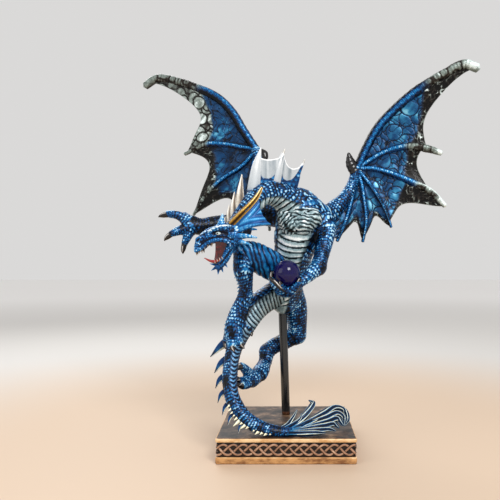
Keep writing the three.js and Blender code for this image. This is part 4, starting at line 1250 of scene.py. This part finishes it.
# sail over the neck: three spikes, the webs between them, and a scaled foot; each bend of a spike has
# its share of the height, its sway and its share of the radius
sail = {
    "bends": ((0.35, -0.6, 0.94), (0.7, -1.0, 0.66)), "tipRadius": 0.35,
    "spines": [([-27, -12, 168], [-20, -9, 213], 4.8), ([-11, -4, 178], [-1.5, -3, 213.4], 4.0),
               ([3, 8, 176], [14.4, 9, 207.4], 2.6)],
    "webs": [dict(ends=(0.84, 0.84), scallop=0.06), dict(ends=(0.88, 0.86), scallop=0.2)],
    "footLow": 189.5, "footRise": 13.0, "scale": 3.6, "spineLow": 175, "spineRise": 36,
}


def sailTone(flat, along, toEdge, toRail, seed, look):
    # pearly folds running up the web, with a paler rolled edge, and painted shade beside the spikes
    folds = softNoise(flat * [1.6, 1, 0.12], 2.4, seed)
    # painted shade beside the spikes
    tone = 0.46 + 0.34 * folds + 0.4 * rise(1.4, 0.3, toEdge) - 0.2 * np.exp(-toRail / 1.2)
    return np.clip(tone, 0, 1), 0 * tone, 0.3 * folds


def addSail():
    parts = []
    for k, (start, tip, radius) in enumerate(sail["spines"]):
        a, b = np.array(start, float), np.array(tip, float)
        bends = [list(a + (b - a) * up + [sway, 0, 0]) + [radius * wide] for up, sway, wide in sail["bends"]]
        rows = [list(a) + [radius], *bends, list(b) + [sail["tipRadius"]]]
        spine = tube(rows, sides=24, spacing=0.6, facing=(0.1, -1, 0.1), flat=0.5,
                     shape=hornShape(grooves=4, toneLow=0.55, toneHigh=1.0))
        spine["dark"] = rise(0.86, 0.93, spine["along"]) * (k > 0)
        spine["skin"] = rise(0.3, 0.2, spine["along"]) if k < 2 else rise(0.62, 0.5, spine["along"])
        spine["tone"] = spine["tone"] - 0.25 * (spine["skin"] > 0.5)
        parts.append(spine)
    for k, shape in enumerate(sail["webs"]):
        (a, b, _), (c, d, _) = sail["spines"][k], sail["spines"][k + 1]
        sheet = web([a, list((np.array(a) + b) / 2), b], [c, list((np.array(c) + d) / 2), d], seed=20 + k,
                    step=0.6, thickness=1.1, flare=0.5, billow=0.0, paint=sailTone, **shape)
        spot = sheet["points"]
        t = (spot[:, 2] - sail["spineLow"]) / sail["spineRise"]
        left = a[0] + (b[0] - a[0]) * t
        right = c[0] + (d[0] - c[0]) * t
        across = np.clip((spot[:, 0] - left) / (right - left), 0, 1)
        foot = sail["footLow"] + sail["footRise"] * np.abs(2 * across - 1) ** 3
        sheet["skin"] = rise(foot + 0.5, foot - 0.5, spot[:, 2])
        height, shade = scaleRelief(-spot[:, 2] / sail["scale"], spot[:, 0] / sail["scale"])
        sheet["tone"] = np.where(sheet["skin"] > 0.5, 0.2 + 0.65 * shade, sheet["tone"])
        sheet["rim"] = 0 * across
        parts.append(sheet)
    addPiece("neckSail", gather(parts), pearlPaint)


addSail()

# spikes down the back, fins down the tail, and small spikes on the far shin and along the tail's end
backSpikes = [([17, 26, 172], [20, 41, 180]), ([18, 30, 158], [22, 45, 161]), ([13, 28, 143], [16, 42, 142]),
              ([9, 26, 128], [11, 39, 124]), ([4, 28, 112], [5, 40, 107])]
tailFins = [([-38, -2, 66], [-59, -8, 51.5], 5.2), ([-42, -14, 52], [-54.6, -18, 40.8], 4.0),
            ([-44, -22, 40], [-53, -24, 30.5], 3.3), ([-43, -29, 30], [-50.5, -31, 21], 2.8),
            ([-40, -33, 22], [-46.5, -37, 13.5], 2.5), ([-36, -37, 15], [-42, -42, 7.5], 2.2),
            ([-29, -41, 9], [-34, -46, 3], 2.0)]
shinEdge = {"points": [(-38.2, -11, 114), (-36.4, -9, 106), (-36.6, -7, 98), (-41.8, -9, 88),
                       (-45.8, -11, 78), (-45.8, -13, 72)],
            "pitch": 3.6, "length": 1.9, "radius": 1.5}
tailFringe = {"points": [row[:3] for row in tail[7:11]], "pitch": 3.0, "shortest": 1.8, "longer": 4.6,
              "radius": 2.0, "lowest": 0.9}


def addSpikes():
    parts = []
    for k, (x, y, z) in enumerate(smoothPath(shinEdge["points"], shinEdge["pitch"])):
        long = shinEdge["length"] * (0.7 + 0.6 * drawn(8, k))
        parts.append(curvedSpike((x + 1.6, y, z + 0.6), (x - long, y - 0.4, z - 0.7 * long),
                                 shinEdge["radius"], sides=10, toneLow=0.2, toneHigh=0.8))
    for start, tip in backSpikes:
        parts.append(curvedSpike(start, tip, 3.0, bend=(0, 0, 1.2), sides=12, flat=0.6, facing=(1, 0, 0),
                                 rings=0.3, grooves=3, toneLow=0.3, toneHigh=1.0))
    for start, tip, radius in tailFins:
        fin = curvedSpike(start, tip, radius, bend=(-1.2, 0, 1.8), sides=24, flat=0.42, grooves=5,
                          toneLow=0.24, toneHigh=0.7, paleSide=0.7)
        fin["dark"] = rise(0.72, 0.86, fin["along"]) * 0.8
        parts.append(fin)
    for k, (x, y, z) in enumerate(smoothPath(tailFringe["points"], tailFringe["pitch"])):
        long = tailFringe["shortest"] + tailFringe["longer"] * drawn(5, k)
        tip = (x - long, y - 3.2 - 0.7 * long, max(z - 0.9 * long, tailFringe["lowest"]))
        parts.append(curvedSpike((x + 0.8, y - 2.2, z - 0.4), tip, tailFringe["radius"], sides=10, flat=0.5,
                                 toneLow=0.5, toneHigh=1.4))
    addPiece("tailSpikes", onPlinth(gather(parts)), finPaint)


addSpikes()

# tail fin: swept fronds with cream ridges
fronds = [
    [[-6, -40, 3, 2.4], [1, -35, 6, 2.0], [5, -32, 11, 1.4], [8, -30, 16, 0.4]],
    [[-4, -40, 3, 2.2], [5, -36, 6, 1.9], [10, -33, 10, 1.3], [11, -32, 13.5, 0.4]],
    [[-2, -40, 3, 3], [8, -34, 7, 2.8], [15, -29, 13, 2.5], [19.5, -24, 19.5, 1.9], [16.5, -24, 21.5, 0.4]],
    [[4, -40, 3, 3.0], [16, -34, 7, 3.0], [27, -26, 12, 2.8], [37, -17, 14.5, 2.4], [44, -14, 11.5, 2.0],
     [46.5, -18, 5, 1.4], [43, -24, 2.2, 0.4]],
    [[4, -40, 3, 2.6], [16, -35.5, 5.8, 2.8], [28, -28, 9.6, 2.8], [38, -21, 11, 2.5], [43.5, -20, 7, 1.8],
     [43, -25, 2.6, 0.6]],
    [[4, -41, 2.8, 2.6], [17, -37, 4.5, 2.9], [29, -30, 7, 3.0], [38, -24, 7.5, 2.6], [42, -26, 3.2, 1.0]],
    [[4, -42, 2.6, 2.6], [16, -39, 3.6, 2.8], [27, -34, 5, 2.8], [35, -29, 5, 2.2], [38.5, -30, 2.4, 0.8]],
    [[3, -42.5, 2.4, 2.4], [14, -42, 2.8, 2.5], [24, -39, 3.4, 2.4], [32, -35.5, 3, 1.8],
     [36, -35, 1.6, 0.6]],
    [[2, -43, 2.4, 2.2], [12, -44, 2.2, 2.2], [21, -42.5, 2.4, 2.0], [28, -40, 1.8, 0.7]],
]


def frondShape(run, turn, radius, along):
    # lengthwise ribs, pale along their crests
    ribs = 0.5 + 0.5 * np.cos(5 * turn + 1.4 * np.sin(run * 0.16))
    tone = 0.16 + 0.88 * ribs ** 3 * rise(1.2, 0.2, np.abs(along - 0.6)) + 0 * run
    return radius * 0.26 * (ribs - 0.5) + 0 * run, np.clip(tone, 0, 1)


def addTailFin():
    parts = [tube(points, sides=40, spacing=0.6, facing=(-0.3, -0.5, 1), flat=0.8, shape=frondShape)
             for points in fronds]
    addPiece("tailFin", onPlinth(gather(parts)), finPaint)


addTailFin()
print("spikes and tail fin set")


# plinth: banded block and a plait round it
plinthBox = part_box("plinth")
plinth = {"half": (plinthBox[1].x - plinthBox[0].x) / 2 / mm, "height": plinthTop / mm,
          "lowerBand": 5.0, "friezeTop": 15.2, "recess": 1.3, "step": 0.7,
          "strandWidth": 2.3, "strandRelief": 1.15, "sunken": 0.55, "strandPoints": 80, "period": 21.4,
          "overUnder": 0.35, "toneSteps": ((0.0, 0.35), (0.35, 0.7), (0.7, 1.0)),
          "gold": ((24, 12, 6), (128, 82, 44), (206, 156, 100), (238, 204, 156)),
          "brown": ((22, 14, 10), (70, 50, 37), (122, 94, 70), (176, 148, 118)),
          "copper": ((8, 3, 1), (58, 30, 16), (168, 126, 98), (250, 224, 196))}


def plinthMaterial(name, shades, metallic, mottle=0.9):
    # streaky wear over the painted tone
    material, tree, shader = newMaterial(name)
    stretched = addNode(tree, "ShaderNodeMapping", [("Vector", placeOf(tree)), ("Scale", (0.35, 0.35, 1.0))])
    streaks = noiseOf(tree, 260.0, 6.0, Vector=stretched.outputs[0], Roughness=0.65)
    centred = mathOf(tree, "SUBTRACT", streaks, 0.5)
    worn = mathOf(tree, "MULTIPLY_ADD", centred, mottle, painted(tree, "tone"))
    colour = shadeRamp(tree, worn, plinth["toneSteps"], [srgb(*shade) for shade in shades])
    bumped = addNode(tree, "ShaderNodeBump", [("Height", streaks), ("Strength", 0.4),
                                              ("Distance", 0.3 * mm)])
    fill(tree, shader, [("Base Color", colour), ("Roughness", ranged(tree, streaks, 0.3, 0.7, 0.5, 0.34)),
                        ("Normal", bumped.outputs["Normal"]), ("Metallic", metallic)])
    return material


def addPlinth():
    half, top = plinth["half"], plinth["height"]
    low, frieze, recess = plinth["lowerBand"], plinth["friezeTop"], plinth["recess"]
    # height, inset and tone up the side, then inwards over the top
    profile = [(0, 40, 0.1), (0, 0.7, 0.2), (0.35, 0.2, 0.5), (0.9, 0, 0.62), (2.0, 0, 0.55), (3.2, 0, 0.55),
               (4.3, 0.05, 0.62), (4.8, 0.3, 0.75), (low, 0.8, 0.3), (low + 0.1, recess, -0.3),
               (low + 2, recess, -0.35), (10.2, recess, -0.35), (frieze - 2, recess, -0.35),
               (frieze - 0.1, recess, -0.3), (frieze, 0.7, 0.2), (frieze + 0.3, 0.2, 0.8),
               (frieze + 1.2, 0, 0.85), (top - 0.6, 0.05, 0.88), (top - 0.2, 0.25, 0.9), (top, 0.8, 0.4)]
    profile += [(top, inset, 0.3) for inset in (1.6, 3, 6, 10, 16, 24, 34, 44, 49)]
    count = int(8 * half / plinth["step"] / 4) * 4
    t = np.linspace(0, 4, count, endpoint=False)
    side, along = np.floor(t).astype(int), (t % 1) * 2 - 1
    corners = np.array([[1, 0], [0, 1], [-1, 0], [0, -1]], float)
    across = np.array([[0, 1], [-1, 0], [0, -1], [1, 0]], float)
    rings, tones = [], []
    for z, inset, tone in profile:
        reach = half - inset
        flat = corners[side] * reach + across[side] * (along * reach)[:, None]
        rounding = 0.5 * rise(0.985, 1.0, np.abs(along))[:, None]
        flat = flat * (1 - rounding / max(reach, 2))
        ring = np.column_stack([flat, np.full(count, z)])
        wobble = 0.22 * (softNoise(ring, 6, 2) - 0.5) + 0.12 * (softNoise(ring, 2, 4) - 0.5)
        if 0 < z < top:
            ring[:, :2] *= 1 + (wobble / half)[:, None] - 0.12 / half
        rings.append(ring)
        tones.append(tone + 0.25 * (softNoise(ring, 4, 6) - 0.5))
    verts = np.vstack(rings + [np.array([[0, 0, 0], [0, 0, top]])])
    faces = closedFaces(len(rings), count)
    tones = np.concatenate(tones + [[0.1, 0.1]])
    gold = plinthMaterial("plinthGold", plinth["gold"], 0.1, 1.3)
    piece = addPiece("plinthBlock", {"points": verts, "faces": faces, "tone": tones}, gold,
                     "plinth", smooth=False, inFigure=False)
    piece.data.materials.append(plinthMaterial("plinthTopBrown", plinth["brown"], 0.05, 3.0))
    for polygon in piece.data.polygons:
        corner = polygon.center
        inward = half * mm - max(abs(corner.x), abs(corner.y))
        if corner.z > (top - 0.05) * mm and inward > 1.0 * mm:
            polygon.material_index = 1


def addPlait():
    half, low, frieze = plinth["half"], plinth["lowerBand"], plinth["friezeTop"]
    width, relief = plinth["strandWidth"], plinth["strandRelief"]
    length = half - plinth["recess"] + 0.2
    swing = (frieze - low - width) / 2 - 0.4
    parts = []

    def strandShape(run, turn, radius, along):
        crest = rise(0.45, 0.95, np.cos(turn)) + 0 * run
        return 0 * crest, -0.3 + 1.05 * crest

    for side in range(4):
        turned = np.array([[math.cos(side * math.pi / 2), -math.sin(side * math.pi / 2)],
                           [math.sin(side * math.pi / 2), math.cos(side * math.pi / 2)]])
        for strand in range(3):
            x = np.linspace(-length, length, plinth["strandPoints"])
            angle = 2 * math.pi * (x / plinth["period"] + strand / 3)
            depth = half - plinth["recess"] + 0.1 + plinth["overUnder"] * np.sin(2 * angle)
            rows = np.column_stack([x, -depth, (low + frieze) / 2 + swing * np.sin(angle),
                                    np.full(len(x), width / 2)])
            rows[:, :2] = rows[:, :2] @ turned.T
            out = turned @ np.array([0, -1.0])
            parts.append(tube(rows.tolist(), sides=10, spacing=0.8, facing=(out[0], out[1], 0),
                              flat=relief / (width / 2) * plinth["sunken"], shape=strandShape, dome=0.1))
    whole = gather(parts)
    copper = plinthMaterial("plaitCopper", plinth["copper"], 0.1)
    addPiece("plinthPlait", whole, copper, "plinth", inFigure=False)


addPlinth()
addPlait()

# rod and ball
rodLook = {"sides": 48, "foot": (-1, 22, 0), "hips": (-3.8, 22, 86), "lift": 0.05, "length": 96,
           "brownFootTop": 5.0, "black": (9, 9, 11), "scuffAndReflection": (92, 52, 28)}
ballLook = {"rows": 48, "columns": 64, "dark": (8, 4, 44), "light": (26, 18, 96)}


def addRod():
    low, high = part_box("rod")
    line = unit(np.array(rodLook["hips"], float) - np.array(rodLook["foot"]))
    radius = (high.y - low.y) / 2 / (share * mm)
    start = np.array(rodLook["foot"]) + line * rodLook["lift"]
    end = start + line * rodLook["length"]
    rows = [list(start + (end - start) * k / 4) + [radius] for k in range(5)]
    rod = tube(rows, sides=rodLook["sides"], spacing=2.0, dome=0.0)
    # the rod's foot is brown: scuffs, and a painted reflection of the plinth
    rod["tone"] = rise(rodLook["brownFootTop"], 1.0, rod["points"][:, 2])
    steel, tree, shader = newMaterial("blackRod")
    scuffs = noiseOf(tree, 420.0, 4.0)
    # scuff noise breaks up the brown of scuffs and painted reflection at the foot
    brownFoot = mathOf(tree, "MULTIPLY", scuffs, painted(tree, "tone"))
    colour = shadeRamp(tree, brownFoot, [(0.25, 0.5)], [srgb(*rodLook["black"]), srgb(*rodLook["scuffAndReflection"])])
    rough = ranged(tree, scuffs, 0.0, 1.0, 0.16, 0.34)
    fill(tree, shader, [("Base Color", colour), ("Roughness", rough), ("Coat Weight", 0.4)])
    addPiece("steelRod", rod, steel, "rod")


def addBall():
    glass, tree, shader = newMaterial("violetGlass")
    clouds = noiseOf(tree, 90.0, 3.0)
    colour = shadeRamp(tree, clouds, [(0.35, 0.7)], [srgb(*ballLook["dark"]), srgb(*ballLook["light"])])
    fill(tree, shader, [("Base Color", colour), ("Roughness", 0.03), ("IOR", 1.5),
                        ("Transmission Weight", 0.1), ("Specular IOR Level", 0.32)])
    rows, columns = ballLook["rows"], ballLook["columns"]
    part = {"points": (roundGrid(rows, columns) * ballRadius + ballCentre).reshape(-1, 3) / mm,
            "faces": gridFaces(rows, columns, wrap=True, flip=True)}
    addPiece("glassBall", part, glass, "ball", inFigure=False)


addRod()
addBall()
print("plinth, rod and ball set")


# floor and soft studio light; each light has its place, width and power
studio = {"floorSize": 6.0, "floorRoughness": 0.6, "fades": ((0.2, 0.6), (0.8, 2.6)),
          "floorShades": ((210, 186, 162), (216, 213, 209), (252, 250, 248)),
          "world": (0.975, 0.965, 0.955), "worldStrength": 0.72, "target": (0, 0, 0.16),
          "lights": [("key", (0.35, -0.8, 0.85), 0.4, 8.5), ("fill", (-0.8, -0.5, 0.5), 0.6, 1.5),
                     ("back", (-0.35, 0.6, 0.7), 0.5, 3.0)]}


def addStudio():
    size = studio["floorSize"]
    mesh = bpy.data.meshes.new("floor")
    mesh.from_pydata([(-size, -size, 0), (size, -size, 0), (size, size, 0), (-size, size, 0)], [],
                     [(0, 1, 2, 3)])
    floor = bpy.data.objects.new("floor", mesh)
    bpy.context.scene.collection.objects.link(floor)
    paper, tree, shader = newMaterial("floorPaper")
    away = addNode(tree, "ShaderNodeVectorMath", [(0, placeOf(tree))], operation="LENGTH").outputs["Value"]
    colour = shadeRamp(tree, away, studio["fades"], [srgb(*shade) for shade in studio["floorShades"]])
    fill(tree, shader, [("Base Color", colour), ("Roughness", studio["floorRoughness"])])
    mesh.materials.append(paper)
    world = bpy.data.worlds.new("studio")
    world.use_nodes = True
    sky = world.node_tree.nodes["Background"]
    sky.inputs["Color"].default_value = (*studio["world"], 1)
    sky.inputs["Strength"].default_value = studio["worldStrength"]
    bpy.context.scene.world = world
    for name, place, width, power in studio["lights"]:
        lamp = bpy.data.lights.new(name, "AREA")
        lamp.size = width
        lamp.energy = power
        holder = bpy.data.objects.new(name, lamp)
        aim = np.array(studio["target"]) - np.array(place)
        holder.location = place
        level = math.hypot(aim[0], aim[1])
        holder.rotation_euler = (math.pi / 2 + math.atan2(aim[2], level), 0,
                                 math.atan2(aim[1], aim[0]) - math.pi / 2)
        bpy.context.scene.collection.objects.link(holder)


addStudio()
bpy.context.scene.view_settings.view_transform = "Standard"
